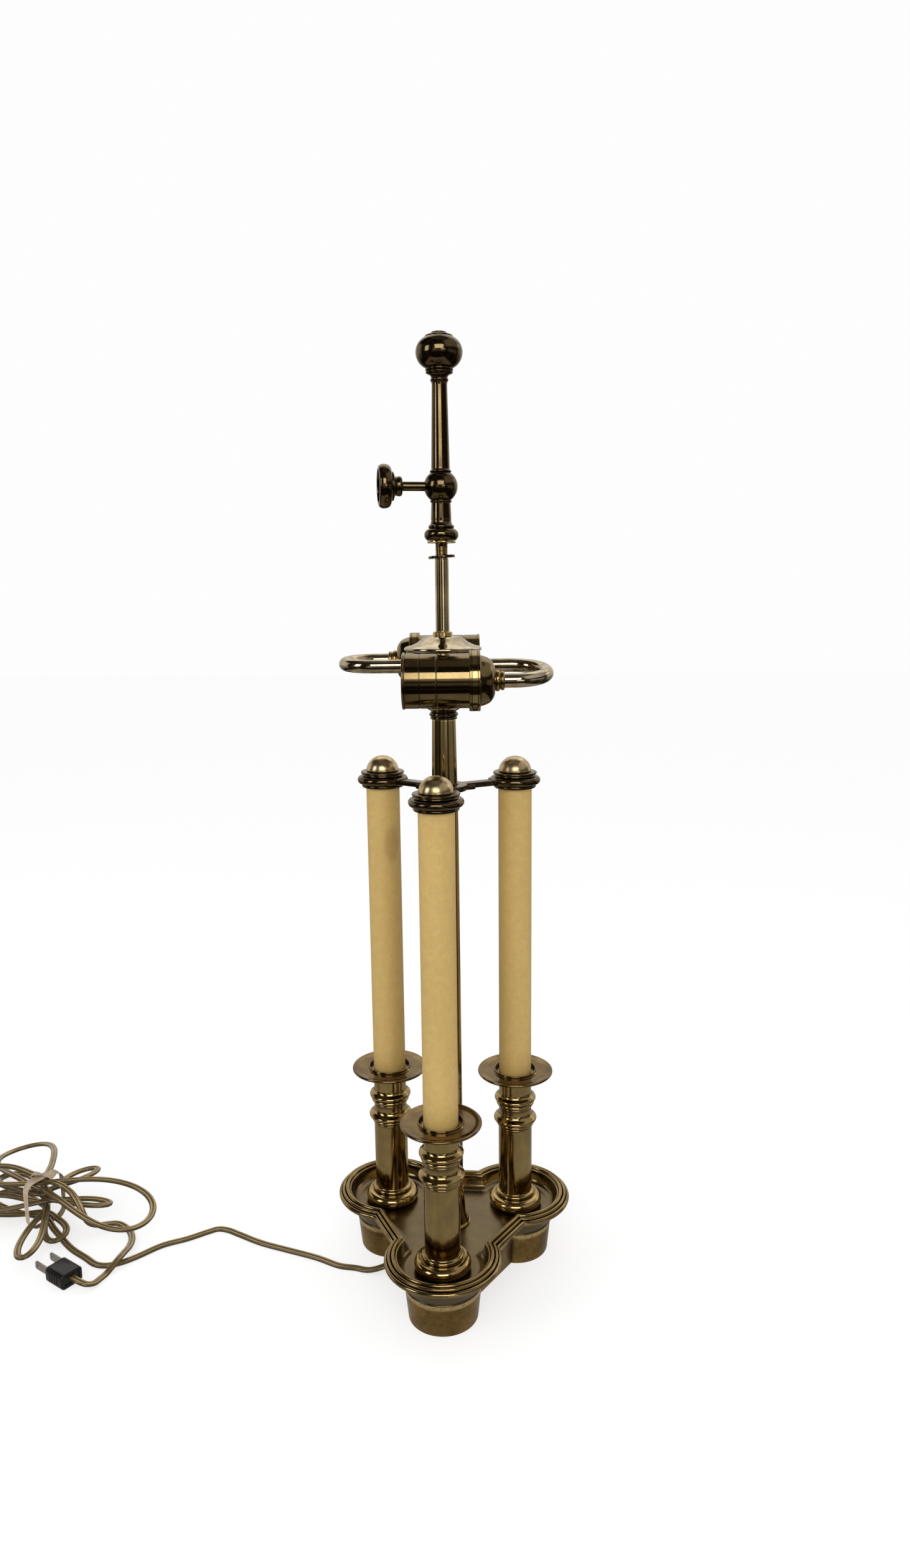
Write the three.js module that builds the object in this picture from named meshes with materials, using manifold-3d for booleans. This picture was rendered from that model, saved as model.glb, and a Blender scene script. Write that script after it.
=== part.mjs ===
// A brass bouillotte table lamp: three candlesticks on a trefoil tray round a tapered column,
// a two-light cluster over them, and a riser that slides on a rod to set the height of a shade.
// Millimetres, +Z up. The origin is on the table, under the column, and -Y is the front candle.

import * as THREE from 'three';
import { mergeVertices } from 'three/addons/utils/BufferGeometryUtils.js';
import Module from 'manifold-3d';

const wasm = await Module();
wasm.setup();

// Clearances
const gap = 0.3;              // between pieces that are cut to each other or pass through each other
const overrun = 2;            // how far a cutter runs past what it cuts

// Plan of the base: three round lobes joined by straight sides
const lobeDistance = 57;      // from the lamp's axis to each lobe and candle
const sideGrowth = 13.7;      // the straight sides stand this much further out than a lobe's radius

// Foot: felt, bottom plate and skirt
const feltThickness = 1.5;
const plateThickness = 1.2;
const skirtFootRadius = 25.4;
const skirtTopRadius = 28;
const skirtHeight = 25.4;
const skirtLift = 0.3;
const skirtWall = 2.2;

// Tray
const seamBeadRadius = 28.9;
const seamBeadHeight = 1.6;
const coveHeight = 14.8;
const coveTopRadius = 39.6;
const rimRadius = 43.6;
const rimHeight = 5;
const rimBeadRadius = 40.2;
const rimBeadWidth = 2.6;
const rimBeadHeight = 1.6;
const rimLipRadius = 36.6;
const rimLipWidth = 2.4;
const rimLipHeight = 2.6;
const trayFloorRadius = 25.5;
const trayFloorHeight = 37.5;
const trayFloorThickness = 2;
const trayCoveRadius = 33.4;

// Candlesticks
const stickFootRadius = 20.4;
const stickFootHeight = 8.6;
const stickFootSeat = 17.2;
const stickRingRadius = 15.2;
const stickRingHeight = 3.8;
const stickRadius = 12.95;
const stickShaftHeight = 55.1;
const stickLowBeadRadius = 14.5;
const stickLowBeadHeight = 4;
const stickLowTorusRadius = 17;
const stickLowTorusHeight = 9;
const stickNeckRadius = 13.3;
const stickScotiaHeight = 3.5;
const stickHighBeadRadius = 14.1;
const stickHighBeadHeight = 2.6;
const stickHighScotiaHeight = 3;
const stickHighTorusRadius = 16.5;
const stickHighTorusHeight = 7.6;
const stickNeckHeight = 13;
const stickFlareRadius = 15;
const stickFlareHeight = 3.2;
const stickBore = 9.6;
const stickEndWall = 3;

// Drip pans
const panRadius = 29;
const panEdge = 2.1;
const panStepRadius = 19;
const panStepHeight = 1.4;
const panCupRadius = 16.2;
const panCupWall = 1;
const panCupHeight = 2.4;

// Candle sleeves
const candleRadius = 12.4;
const candleWall = 1.3;
const candleLength = 225.4;

// Tie rods through the candles, with their washers and nuts under the tray
const tieRodRadius = 2.4;
const tieRodTail = 8.4;
const tieWasherRadius = 7;
const tieWasherThickness = 1.2;
const tieNutRadius = 5.2;
const tieNutHeight = 4;

// Yoke over the candles
const yokeSeatRadius = 14.6;
const yokeSeatHeight = 2.8;
const yokeRingRadius = 18.9;
const yokeRingHeight = 7;
const yokeRingEdge = 0.9;
const yokeBeadRadius = 16.4;
const yokeBeadHeight = 2.2;
const yokeHubRadius = 16.2;
const yokeHubThickness = 3.8;
const yokeArmWidth = 9;
const yokeArmThickness = 3.8;
const yokeArmDrop = 0.4;

// Dome nuts
const domeRadius = 12.1;
const domeHeight = 11.3;
const domeThreadDepth = 6.5;

// Column and its collar
const columnFootRadius = 15.4;
const columnFootHeight = 50;
const columnFootShares = [[0.62, 0.06], [0.3, 0.3], [0.1, 0.62]]; // of the flare and its height
const columnWaistRadius = 10.3;
const columnMiddleRadius = 9.6;
const columnMiddleHeight = 312.5;
const columnTopRadius = 8.4;
const columnRise = 42;        // from the yoke's rings to the column's top
const collarRadius = 10.65;
const collarBeadHeight = 3.2;
const collarNeckRadius = 9.4;
const collarHeight = 6.6;

// Stem pipe inside the column
const stemRadius = 4.9;
const stemBore = 3.7;
const stemTail = 11.6;
const stemWasherRadius = 10;
const stemWasherThickness = 1.5;
const stemNutRadius = 8.2;
const stemNutHeight = 4;
const stemRise = 14.5;

// Cluster body and cover
const clusterYaw = THREE.MathUtils.degToRad(5.24);
const bodyRadius = 23.8;
const bodyNeckRadius = 10.4;
const bodyHeight = 41.5;
const bodyWall = 1.2;
const bowlShares = [[0.27, 0.07], [0.72, 0.26], [0.98, 0.5]]; // of the bowl's flare and height
const coverRadius = 27;
const coverBandRadius = 25.9;
const coverBandHeight = 5.4;
const coverRimHeight = 2.6;
const coverTopRadius = 12.2;
const coverRise = 7.2;
const coverWall = 1.2;
const coverLedge = 2.4;
const coverNutRadius = 6.5;
const coverNutHeight = 4.2;
const coverNutEdge = 0.8;

// Hickey that joins the stem to the rod inside the cluster body
const hickeyRadius = 7.4;
const hickeyBossHeight = 6;
const hickeyWindow = 14;
const hickeyBarWidth = 5;
const hickeyBarDepth = 2;

// Arms of the two lights
const armRadius = 4.8;
const armBore = 3.7;
const armBend = 23;
const armReach = 47.5;
const armReturn = 14;
const armDrop = 10.6;         // from the round body's top to the arms' middle
const armFrontDroop = THREE.MathUtils.degToRad(8.7);
const armRearDroop = THREE.MathUtils.degToRad(-2.1);
const armSteps = 18;
const armNutRadius = 6.8;
const armNutHeight = 2.6;
const armNutOut = 21.2;       // how far out the locknuts reach inside the round body
const armEndRun = 1.1;
const armCollarRadius = 7.1;
const armCollarLength = 6.2;

// Lamp holders
const socketRadius = 18;
const socketMouth = 26.7;     // from the lamp's axis to the open end, along the holder
const shellLength = 44;
const shellWall = 0.8;
const shellLipRadius = 18.6;
const shellLipHeight = 1.8;
const shellTuck = 4;           // length of shell inside the cap
const grooveDistances = [11.6, 22.8]; // from the mouth
const grooveWidth = 1.6;
const grooveDepth = 0.4;
const capRadius = 20;
const capBandHeight = 7.6;
const capDomeHeight = 9.6;
const capWall = 1;
const capEdge = 0.6;
const capNeckRadius = 6.9;
const insertWall = 3.3;
const insertRecess = 3;
const insertLength = 36;
const insertFloor = 8;
const threadWall = 0.5;
const threadLength = 24;
const contactRadius = 4;
const contactHeight = 3;

// Rotary switch in the cluster body
const switchTilt = THREE.MathUtils.degToRad(135);
const switchOut = 19.6;
const switchRise = 9.9;       // over the body's foot
const switchBodyRadius = 4;
const switchBodyLength = 6.4;
const switchBodyInset = 3.8;
const switchBushRadius = 2.6;
const switchBushLength = 6.4;
const switchNutRadius = 4.2;
const switchNutHeight = 1.4;
const knobRadius = 4.9;
const knobLength = 9;
const knobShaftRadius = 1.5;
const knobShaftLength = 4;
const switchNutOut = 1;
const knobEdge = 0.7;

// Wires in the lights
const wireRadius = 1.3;
const wireSteps = 18;
const wireDropShares = [[0.5, 0.02], [0.9, 0.3], [1, 0.7], [1, 1]];
const wireNutRadius = 4.4;
const wireNutTipRadius = 3.2;
const wireNutLength = 10;
const wireNutRise = 11.9;     // over the body's foot
const wireNutX = 6.2;
const wireNutY = -13;

// Shade rod, loose washer and riser
const rodRadius = 4.75;
const rodBareLength = 48.7;   // from the cover's nut to the rod's shoulder
const rodThreadRadius = 4.3;
const rodThreadLength = 26.5;
const rodGuideRadius = 3.2;
const rodEndRoom = 15;        // from the rod's end to the end of the riser's bore
const rodWasherRadius = 9.2;
const rodWasherBore = 4.7;
const rodWasherThickness = 1.7;
const rodWasherLift = 0.6;    // the tilted washer's middle stands this high over the shoulder
const rodWasherTilt = THREE.MathUtils.degToRad(3.8);
const ferruleRadius = 9.9;
const ferruleThickness = 1.4;
const riserLift = 10.6;       // from the shoulder to the ferrule, at rest
const riserFlangeRadius = 11.7;
const riserFlangeHeight = 8.2;
const riserFlangeEdge = 1.2;
const riserStepRadius = 8.6;
const riserStepHeight = 2.2;
const riserSleeveRadius = 7.8;
const riserSleeveTopRadius = 6.6;
const riserBallRadius = 11.5;
const riserBallRise = 35.9;   // from the riser's foot to its ball's middle
const riserBallTall = 18.8;
const riserShaftRadius = 5.2;
const riserShaftFootRadius = 6.3;
const riserShaftRise = 67.5;  // from the ball's middle to the shaft's top
const riserCollarRadius = 6;
const riserCollarHeight = 3.4;
const riserCupRadius = 9.2;
const riserCupHeight = 3;
const riserWideBore = 5.2;
const riserWideDepth = 28;
const riserGuideBore = 3.5;
const riserEndWall = 6.4;

// Thumb-screw
const screwYaw = THREE.MathUtils.degToRad(194.2);
const screwRadius = 3.1;
const screwLength = 23;
const screwCollarRadius = 6.6;
const screwCollarLength = 4.3;
const screwStepRadius = 9.4;
const screwStepLength = 1.9;
const wheelRadius = 14.5;
const wheelThickness = 9.9;
const wheelEdge = 0.9;
const wheelDishRadius = 10.4;
const wheelDishDepth = 3.2;

// Finial
const finialSeatRadius = 9.4;
const finialSeatHeight = 2.2;
const finialBallRadius = 15.5;
const finialBallHeight = 19.4;
const finialNeckRadius = 9.3;
const finialCapRadius = 9.3;
const finialCapHeight = 1.6;
const finialButtonRadius = 5.2;
const finialButtonHeight = 1.4;
const finialTenonRadius = 2.2;
const finialTenonLength = 3.5;

// Cord, its bushing, hank, tie and plug
const cordWidth = 5.5;
const cordThickness = 2.8;
const cordHoleHeight = 7.5;
const cordHoleOffset = -10.5; // along the left straight side, from its middle
const bushingRadius = 4.6;
const bushingFlangeRadius = 6;
const bushingFlangeThickness = 1.4;
const bushingBore = 3.3;
const bushingLength = 7;
const cordShares = [[-1, -0.7], [-1, 0.7], [-0.5, 1], [0.5, 1], [1, 0.7], [1, -0.7], [0.5, -1], [-0.5, -1]];
const innerCordSteps = 30;
const cordRunSteps = 30;
const cordTailSteps = 18;
const hankPitch = 3.4;        // height from one pass through the tie to the next
const hankBase = 3.1;
const hankSag = 0.45;         // how much of its height a loop loses at hankSpread
const hankSpread = 105;
const hankLevelReach = 30;    // the passes stay level this far out from the tie
const hankX = -343;
const hankY = 28;
const hankStartAngle = -43;   // degrees, as the loops' angles are
const hankStartRun = 28;
const hankEndAngle = -22;
const hankEndRun = 15;
const hankLoops = [           // angle, reach, half width, sense
  [140, 90, 21, 1], [-50, 42, 8, -1], [168, 58, 14, 1], [-78, 66, 8, -1], [185, 74, 16, -1],
  [-1, 56, 7, 1], [150, 58, 12, -1], [55, 48, 9, 1], [129, 102, 23, 1], [-13, 100, 25, -1],
  [172, 68, 12, 1],
];
const hankShares = [[1, 0], [0.6, 1], [-0.6, 1], [-1, 0], [-0.6, -1], [0.6, -1]];
const hankSameRun = 14;       // points nearer than this along the cord are one run of it
const loopSteps = 14;
const loopTrimShare = 0.1;
const climbStartShare = 0.3;
const tieWidth = 16.6;        // half of it, across the passes
const tieDepth = 5;
const tieThickness = 0.9;
const tieSlack = 0.5;
const tieYaw = THREE.MathUtils.degToRad(-35);
const plugWidth = 20;
const plugHeight = 14.5;
const plugLength = 21;
const plugCorner = 3;
const plugX = -285;
const plugY = -48;
const plugYaw = THREE.MathUtils.degToRad(150);
const bladeWidth = 6.3;
const bladeThickness = 1.5;
const bladeLength = 15.9;
const bladeSpacing = 12.7;
const bladeSeat = 4;
const plugPocket = 2;

// Materials, from the finishes in view
const finish = (color, roughness, metalness) =>
  new THREE.MeshStandardMaterial({ color, roughness, metalness });
const darkBrass = finish(0x5a4728, 0.32, 1);
const traySheen = finish(0x6b5735, 0.42, 1);
const paleBrass = finish(0xa08a62, 0.28, 1);
const goldBrass = finish(0xa8823c, 0.26, 1);
const domeBrass = finish(0x9c7f48, 0.25, 1);
const steel = finish(0x8c8c88, 0.45, 1);
const sleeveCream = finish(0xc9ad6d, 0.6, 0);
const greenFelt = finish(0x2f3b30, 0.95, 0);
const fibre = finish(0x2c2620, 0.9, 0);
const phenolic = finish(0x1c1a18, 0.5, 0);
const cordVinyl = finish(0x8a7444, 0.35, 0);
const plugBlack = finish(0x111112, 0.4, 0);
const tiePaper = finish(0xb89c78, 0.8, 0);

const lamp = new THREE.Group();

function add(name, geometry, material, parent = lamp) {
  const mesh = new THREE.Mesh(geometry, material);
  mesh.name = name;
  parent.add(mesh);
  return mesh;
}

// Outlines are lists of [radius, height], followed anticlockwise: up the outside, down the inside.

function bulge(inner, outer, low, high, steps) {
  const points = [];
  for (let i = 0; i <= steps; i++) {
    const angle = -Math.PI / 2 + (Math.PI * i) / steps;
    const middle = (low + high) / 2;
    points.push([inner + (outer - inner) * Math.cos(angle), middle + ((high - low) / 2) * Math.sin(angle)]);
  }
  return points;
}

// A quarter of an ellipse about a centre, from one point to another
function quarter(from, to, centre, steps) {
  const points = [];
  for (let i = 0; i <= steps; i++) {
    const angle = (Math.PI / 2) * (i / steps);
    points.push([0, 1].map((axis) => {
      const [start, end] = [from[axis] - centre[axis], to[axis] - centre[axis]];
      return centre[axis] + start * Math.cos(angle) + end * Math.sin(angle);
    }));
  }
  return points;
}

// A ball cut off above and below where it has narrowed to its neck
function ball(radius, neck, low, high, steps) {
  const reach = Math.acos(neck / radius);
  const points = [];
  for (let i = 0; i <= steps; i++) {
    const angle = reach * ((2 * i) / steps - 1);
    const rise = (Math.sin(angle) / Math.sin(reach)) * ((high - low) / 2);
    points.push([radius * Math.cos(angle), (low + high) / 2 + rise]);
  }
  return points;
}

function turned(outline, segments) {
  const closed = outline[0][0] === 0 ? outline : [...outline, outline[0]];
  const points = closed.map(([radius, height]) => new THREE.Vector2(radius, height));
  return new THREE.LatheGeometry(points, segments).rotateX(Math.PI / 2);
}

function tube(inner, outer, low, high, segments) {
  return turned([[inner, low], [outer, low], [outer, high], [inner, high]], segments);
}

function rod(radius, low, high, segments) {
  return turned([[0, low], [radius, low], [radius, high], [0, high]], segments);
}

function ring(radius, sides) {
  const points = [];
  for (let i = 0; i < sides; i++) {
    const angle = (2 * Math.PI * i) / sides;
    points.push(new THREE.Vector2(radius * Math.cos(angle), radius * Math.sin(angle)));
  }
  return points;
}

function ringShape(radius, sides, bore, boreSides) {
  const shape = new THREE.Shape(ring(radius, sides));
  if (bore) shape.holes.push(new THREE.Path(ring(bore, boreSides)));
  return shape;
}

function slab(shape, low, high) {
  return new THREE.ExtrudeGeometry(shape, { depth: high - low, bevelEnabled: false }).translate(0, 0, low);
}

function hexNut(radius, bore, low, high) {
  return slab(ringShape(radius, 6, bore, 12), low, high);
}

function box(x, y, z) {
  return new THREE.BoxGeometry(x, y, z);
}

function sweep(shape, route, steps, Path = THREE.CatmullRomCurve3) {
  const extrudePath = new Path(route, false, 'centripetal');
  return new THREE.ExtrudeGeometry(shape, { steps, bevelEnabled: false, extrudePath });
}

// A route whose swept section keeps its width level, as a flat cord lies
class LevelCurve extends THREE.CatmullRomCurve3 {
  computeFrenetFrames(steps) {
    const frames = { tangents: [], normals: [], binormals: [] };
    for (let i = 0; i <= steps; i++) {
      const tangent = this.getTangentAt(i / steps);
      const across = new THREE.Vector3(tangent.y, -tangent.x, 0).normalize();
      frames.tangents.push(tangent);
      frames.normals.push(across.clone().cross(tangent));
      frames.binormals.push(across);
    }
    return frames;
  }
}

const vectors = (route) => route.map((point) => new THREE.Vector3(...point));

// Joins and cuts

function weld(geometry) {
  const bare = geometry.clone();
  bare.deleteAttribute('normal');
  bare.deleteAttribute('uv');
  const merged = mergeVertices(bare);
  const index = [];
  for (let i = 0; i < merged.index.count; i += 3) {
    const [a, b, c] = [0, 1, 2].map((k) => merged.index.getX(i + k));
    if (a !== b && b !== c && c !== a) index.push(a, b, c);
  }
  merged.setIndex(index);
  return merged;
}

function toSolid(geometry) {
  const merged = weld(geometry);
  const vertProperties = new Float32Array(merged.attributes.position.array);
  const triVerts = new Uint32Array(merged.index.array);
  return new wasm.Manifold(new wasm.Mesh({ numProp: 3, vertProperties, triVerts }));
}

function fromSolid(solid) {
  const mesh = solid.getMesh();
  const geometry = new THREE.BufferGeometry();
  geometry.setAttribute('position', new THREE.BufferAttribute(new Float32Array(mesh.vertProperties), 3));
  geometry.setIndex([...mesh.triVerts]);
  geometry.computeVertexNormals();
  return geometry;
}

function cut(base, ...tools) {
  return fromSolid(tools.reduce((solid, tool) => solid.subtract(toSolid(tool)), toSolid(base)));
}

function join(first, ...others) {
  return fromSolid(others.reduce((solid, other) => solid.add(toSolid(other)), toSolid(first)));
}

// Three places, one for each candle
const candles = [
  { side: 'front', angle: -Math.PI / 2 },
  { side: 'right', angle: Math.PI / 6 },
  { side: 'left', angle: (5 * Math.PI) / 6 },
].map(({ side, angle }) => ({
  side,
  angle,
  x: lobeDistance * Math.cos(angle),
  y: lobeDistance * Math.sin(angle),
}));

const atCandles = (geometry) => candles.map(({ x, y }) => geometry.clone().translate(x, y, 0));

// The trefoil's plan at one lobe radius: an arc round each lobe, and straight sides between them
const lobeSteps = 8;

function trefoil(lobeRadius) {
  const reach = Math.acos((lobeRadius + sideGrowth - lobeDistance / 2) / lobeRadius);
  const half = Math.PI / 3 + reach;
  return candles.flatMap(({ angle, x, y }) => {
    const points = [];
    for (let i = 0; i <= lobeSteps; i++) {
      const turn = angle - half + (2 * half * i) / lobeSteps;
      points.push(new THREE.Vector2(x + lobeRadius * Math.cos(turn), y + lobeRadius * Math.sin(turn)));
    }
    return points;
  });
}

const trefoilPlate = (lobeRadius, low, high) => slab(new THREE.Shape(trefoil(lobeRadius)), low, high);

// A moulding that follows the trefoil: its outline is a closed list of [lobe radius, height]
function trefoilMoulding(outline) {
  const rings = outline.map(([radius, height]) => trefoil(radius).map((p) => [p.x, p.y, height]));
  const size = rings[0].length;
  const index = [];
  for (let j = 0; j < rings.length; j++) {
    const next = (j + 1) % rings.length;
    for (let i = 0; i < size; i++) {
      const right = (i + 1) % size;
      const [a, b, c, d] = [j * size + i, j * size + right, next * size + right, next * size + i];
      index.push(a, b, c, a, c, d);
    }
  }
  const geometry = new THREE.BufferGeometry();
  geometry.setAttribute('position', new THREE.Float32BufferAttribute(rings.flat(2), 3));
  geometry.setIndex(index);
  return geometry;
}

// Heights that the pieces share
const skirtTop = skirtLift + skirtHeight;
const plateTop = feltThickness + plateThickness;
const trayUnderside = trayFloorHeight - trayFloorThickness;
const insideFoot = skirtFootRadius - skirtWall;
const stickTop = trayFloorHeight + stickFootHeight + stickRingHeight + stickShaftHeight
  + stickLowBeadHeight + stickLowTorusHeight + stickScotiaHeight + stickHighBeadHeight
  + stickHighScotiaHeight + stickHighTorusHeight + stickNeckHeight;
const panTop = stickTop + panStepHeight + panEdge;
const candleFoot = stickTop + panStepHeight;
const candleTop = candleFoot + candleLength;
const yokeRingLow = candleTop + yokeSeatHeight;
const yokeRingTop = yokeRingLow + yokeRingHeight;
const yokeTop = yokeRingTop + yokeBeadHeight;
const yokeArmLow = yokeRingLow + yokeArmDrop;
const columnTop = yokeTop + columnRise;
const columnHeight = columnTop - trayFloorHeight;
const collarTop = columnTop + collarHeight;
const stemTop = collarTop + stemRise;
const bodyFloor = collarTop + bodyWall;
const bodyTop = collarTop + bodyHeight;
const coverRimTop = bodyTop + coverRimHeight;
const coverTop = coverRimTop + coverRise;
const armExitHeight = bodyTop - armDrop;
const hickeyFoot = stemTop + gap - hickeyBossHeight;
const hickeySeat = hickeyFoot + hickeyBossHeight + hickeyWindow;
const rodFoot = hickeySeat + gap;
const rodShoulderHeight = coverTop + coverNutHeight + rodBareLength;
const rodThreadTop = rodShoulderHeight + rodThreadLength;
const ferruleHeight = rodShoulderHeight + riserLift;
const riserFoot = ferruleHeight + ferruleThickness + gap;
const riserBallHeight = riserFoot + riserBallRise;
const riserShaftTop = riserBallHeight + riserShaftRise;
const riserTop = riserShaftTop + riserCollarHeight + riserCupHeight;
const riserBoreTop = riserTop - riserEndWall;
const finialFoot = riserTop + gap;

// The cord's hole in the left straight side of the skirt
const cordSide = (7 * Math.PI) / 6;
const skirtSlope = (skirtTopRadius - skirtFootRadius) / skirtHeight;
const cordHoleOut = skirtFootRadius + skirtSlope * (cordHoleHeight - skirtLift) + sideGrowth;

function alongCordHole(geometry) {
  return geometry.rotateY(Math.PI / 2).translate(0, cordHoleOffset, cordHoleHeight).rotateZ(cordSide);
}

// Foot: felt pad, bottom plate and skirt
add('felt_pad', trefoilPlate(insideFoot - gap, 0, feltThickness), greenFelt);
add('bottom_plate', trefoilPlate(insideFoot - gap, feltThickness, plateTop), steel);

const skirtOutline = [
  [insideFoot, skirtLift],
  [skirtFootRadius, skirtLift],
  [skirtTopRadius, skirtTop],
  [skirtTopRadius - skirtWall, skirtTop],
];
const cordHole = rod(bushingRadius + gap, cordHoleOut - bushingLength, cordHoleOut + bushingLength, 10);
add('base_skirt', cut(trefoilMoulding(skirtOutline), alongCordHole(cordHole)), traySheen);

// Cord bushing in that hole, with its flange outside
const bushingSeat = cordHoleOut + Math.abs(skirtSlope) * bushingFlangeRadius + gap;
const bushing = turned([
  [bushingBore, bushingSeat - bushingLength],
  [bushingRadius, bushingSeat - bushingLength],
  [bushingRadius, bushingSeat],
  [bushingFlangeRadius, bushingSeat],
  [bushingFlangeRadius, bushingSeat + bushingFlangeThickness],
  [bushingBore, bushingSeat + bushingFlangeThickness],
], 10);
add('cord_bushing', alongCordHole(bushing), fibre);

// Tray: a cove, a rim of beads, a coved inner wall and a flat floor
const coveFoot = skirtTop + seamBeadHeight;
const coveTop = coveFoot + coveHeight;
const rimTop = coveTop + rimHeight;
const rimInset = rimLipRadius - rimLipWidth;
const lipTop = rimTop + rimLipHeight;
const trayOutline = [
  [skirtTopRadius - skirtWall, skirtTop],
  [skirtTopRadius, skirtTop],
  [seamBeadRadius, (skirtTop + coveFoot) / 2],
  ...quarter([skirtTopRadius, coveFoot], [coveTopRadius, coveTop], [coveTopRadius, coveFoot], 3),
  ...bulge(coveTopRadius + gap, rimRadius, coveTop, rimTop, 4),
  ...bulge(rimBeadRadius - rimBeadWidth / 2, rimBeadRadius, rimTop, rimTop + rimBeadHeight, 2).slice(1),
  [rimLipRadius, rimTop + rimBeadHeight / 2],
  [rimLipRadius - rimLipWidth / 4, lipTop],
  [rimInset + rimLipWidth / 4, lipTop],
  [rimInset, rimTop],
  ...quarter([trayCoveRadius, rimTop], [trayFloorRadius, trayFloorHeight], [trayFloorRadius, rimTop], 3),
  [insideFoot, trayFloorHeight],
  [insideFoot, trayUnderside],
  [skirtTopRadius - skirtWall, trayUnderside],
];
const trayFloor = trefoilPlate(insideFoot + gap, trayUnderside, trayFloorHeight);
const trayHoles = [
  rod(stemRadius + gap, trayUnderside - overrun, trayFloorHeight + overrun, 12),
  ...atCandles(rod(tieRodRadius + gap, trayUnderside - overrun, trayFloorHeight + overrun, 10)),
];
add('base_tray', cut(join(trefoilMoulding(trayOutline), trayFloor), ...trayHoles), traySheen);

// Candlestick: a hollow turning, open at the foot, with a hole for the tie rod at the top
function candlestickOutline() {
  const outline = [[stickBore, trayFloorHeight]];
  let height = trayFloorHeight;
  const bead = (inner, outer, tall, steps) => {
    outline.push(...bulge(inner, outer, height, height + tall, steps));
    height += tall;
  };
  bead(stickFootSeat, stickFootRadius, stickFootHeight, 3);
  bead(stickRadius, stickRingRadius, stickRingHeight, 2);
  height += stickShaftHeight;
  bead(stickRadius, stickLowBeadRadius, stickLowBeadHeight, 2);
  bead(stickNeckRadius, stickLowTorusRadius, stickLowTorusHeight, 3);
  height += stickScotiaHeight;
  bead(stickNeckRadius, stickHighBeadRadius, stickHighBeadHeight, 2);
  height += stickHighScotiaHeight;
  bead(stickNeckRadius, stickHighTorusRadius, stickHighTorusHeight, 3);
  const boreTop = stickTop - stickEndWall;
  return [
    ...outline,
    [stickNeckRadius, stickTop - stickFlareHeight],
    [stickFlareRadius, stickTop],
    [tieRodRadius + gap, stickTop],
    [tieRodRadius + gap, boreTop],
    [stickBore, boreTop],
  ];
}
const candlestick = turned(candlestickOutline(), 12);

// Drip pan with the candle's cup
const cupRim = panTop + panCupHeight;
const cupInside = panCupRadius - panCupWall;
const dripPan = turned([
  [tieRodRadius + gap, stickTop],
  [panStepRadius, stickTop],
  [panStepRadius + panStepHeight, candleFoot],
  ...bulge(panRadius - panEdge / 2, panRadius, panTop - panEdge, panTop, 3),
  [panCupRadius, panTop],
  [panCupRadius, cupRim],
  [cupInside, cupRim],
  [cupInside, candleFoot],
  [tieRodRadius + gap, candleFoot],
], 12);

const candle = tube(candleRadius - candleWall, candleRadius, candleFoot, candleTop, 12);

// Tie rods through the candles: each carries a washer and a nut under the tray and a dome on top
const tieNutTop = trayUnderside - tieWasherThickness;
const tieRod = join(
  rod(tieRodRadius, trayUnderside - tieRodTail, yokeTop + domeThreadDepth - gap, 8),
  rod(tieWasherRadius, tieNutTop, trayUnderside, 10),
  hexNut(tieNutRadius, tieRodRadius - gap, tieNutTop - tieNutHeight, tieNutTop),
);
const domeNut = turned([
  [0, yokeTop + domeThreadDepth],
  [tieRodRadius + gap, yokeTop + domeThreadDepth],
  [tieRodRadius + gap, yokeTop],
  [domeRadius, yokeTop],
  ...quarter([domeRadius, yokeTop + gap], [0, yokeTop + domeHeight], [0, yokeTop + gap], 4),
], 12);
for (const { side, x, y } of candles) {
  add(`candlestick_${side}`, candlestick.clone(), traySheen).position.set(x, y, 0);
  add(`drip_pan_${side}`, dripPan.clone(), traySheen).position.set(x, y, 0);
  add(`candle_sleeve_${side}`, candle.clone(), sleeveCream).position.set(x, y, 0);
  add(`tie_rod_${side}`, tieRod.clone(), steel).position.set(x, y, 0);
  add(`dome_nut_${side}`, domeNut.clone(), domeBrass).position.set(x, y, 0);
}

// Column: a flared foot, then a slight taper
const columnOutline = [
  [columnFootRadius, trayFloorHeight],
  ...columnFootShares.map(([flare, rise]) => [
    columnWaistRadius + (columnFootRadius - columnWaistRadius) * flare,
    trayFloorHeight + columnFootHeight * rise,
  ]),
  [columnWaistRadius, trayFloorHeight + columnFootHeight],
  [columnMiddleRadius, trayFloorHeight + columnMiddleHeight],
  [columnTopRadius, columnTop],
];
const columnBore = stemRadius + gap;
const columnEnds = [[columnBore, columnTop], [columnBore, trayFloorHeight]];
add('column', turned([...columnOutline, ...columnEnds], 12), traySheen);

const collarBeadTop = columnTop + collarBeadHeight;
add('column_collar', turned([
  [columnBore, columnTop],
  ...bulge(collarNeckRadius, collarRadius, columnTop, collarBeadTop, 3),
  ...bulge(collarNeckRadius, collarRadius, collarBeadTop, collarTop, 3).slice(1),
  [columnBore, collarTop],
], 12), darkBrass);

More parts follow.
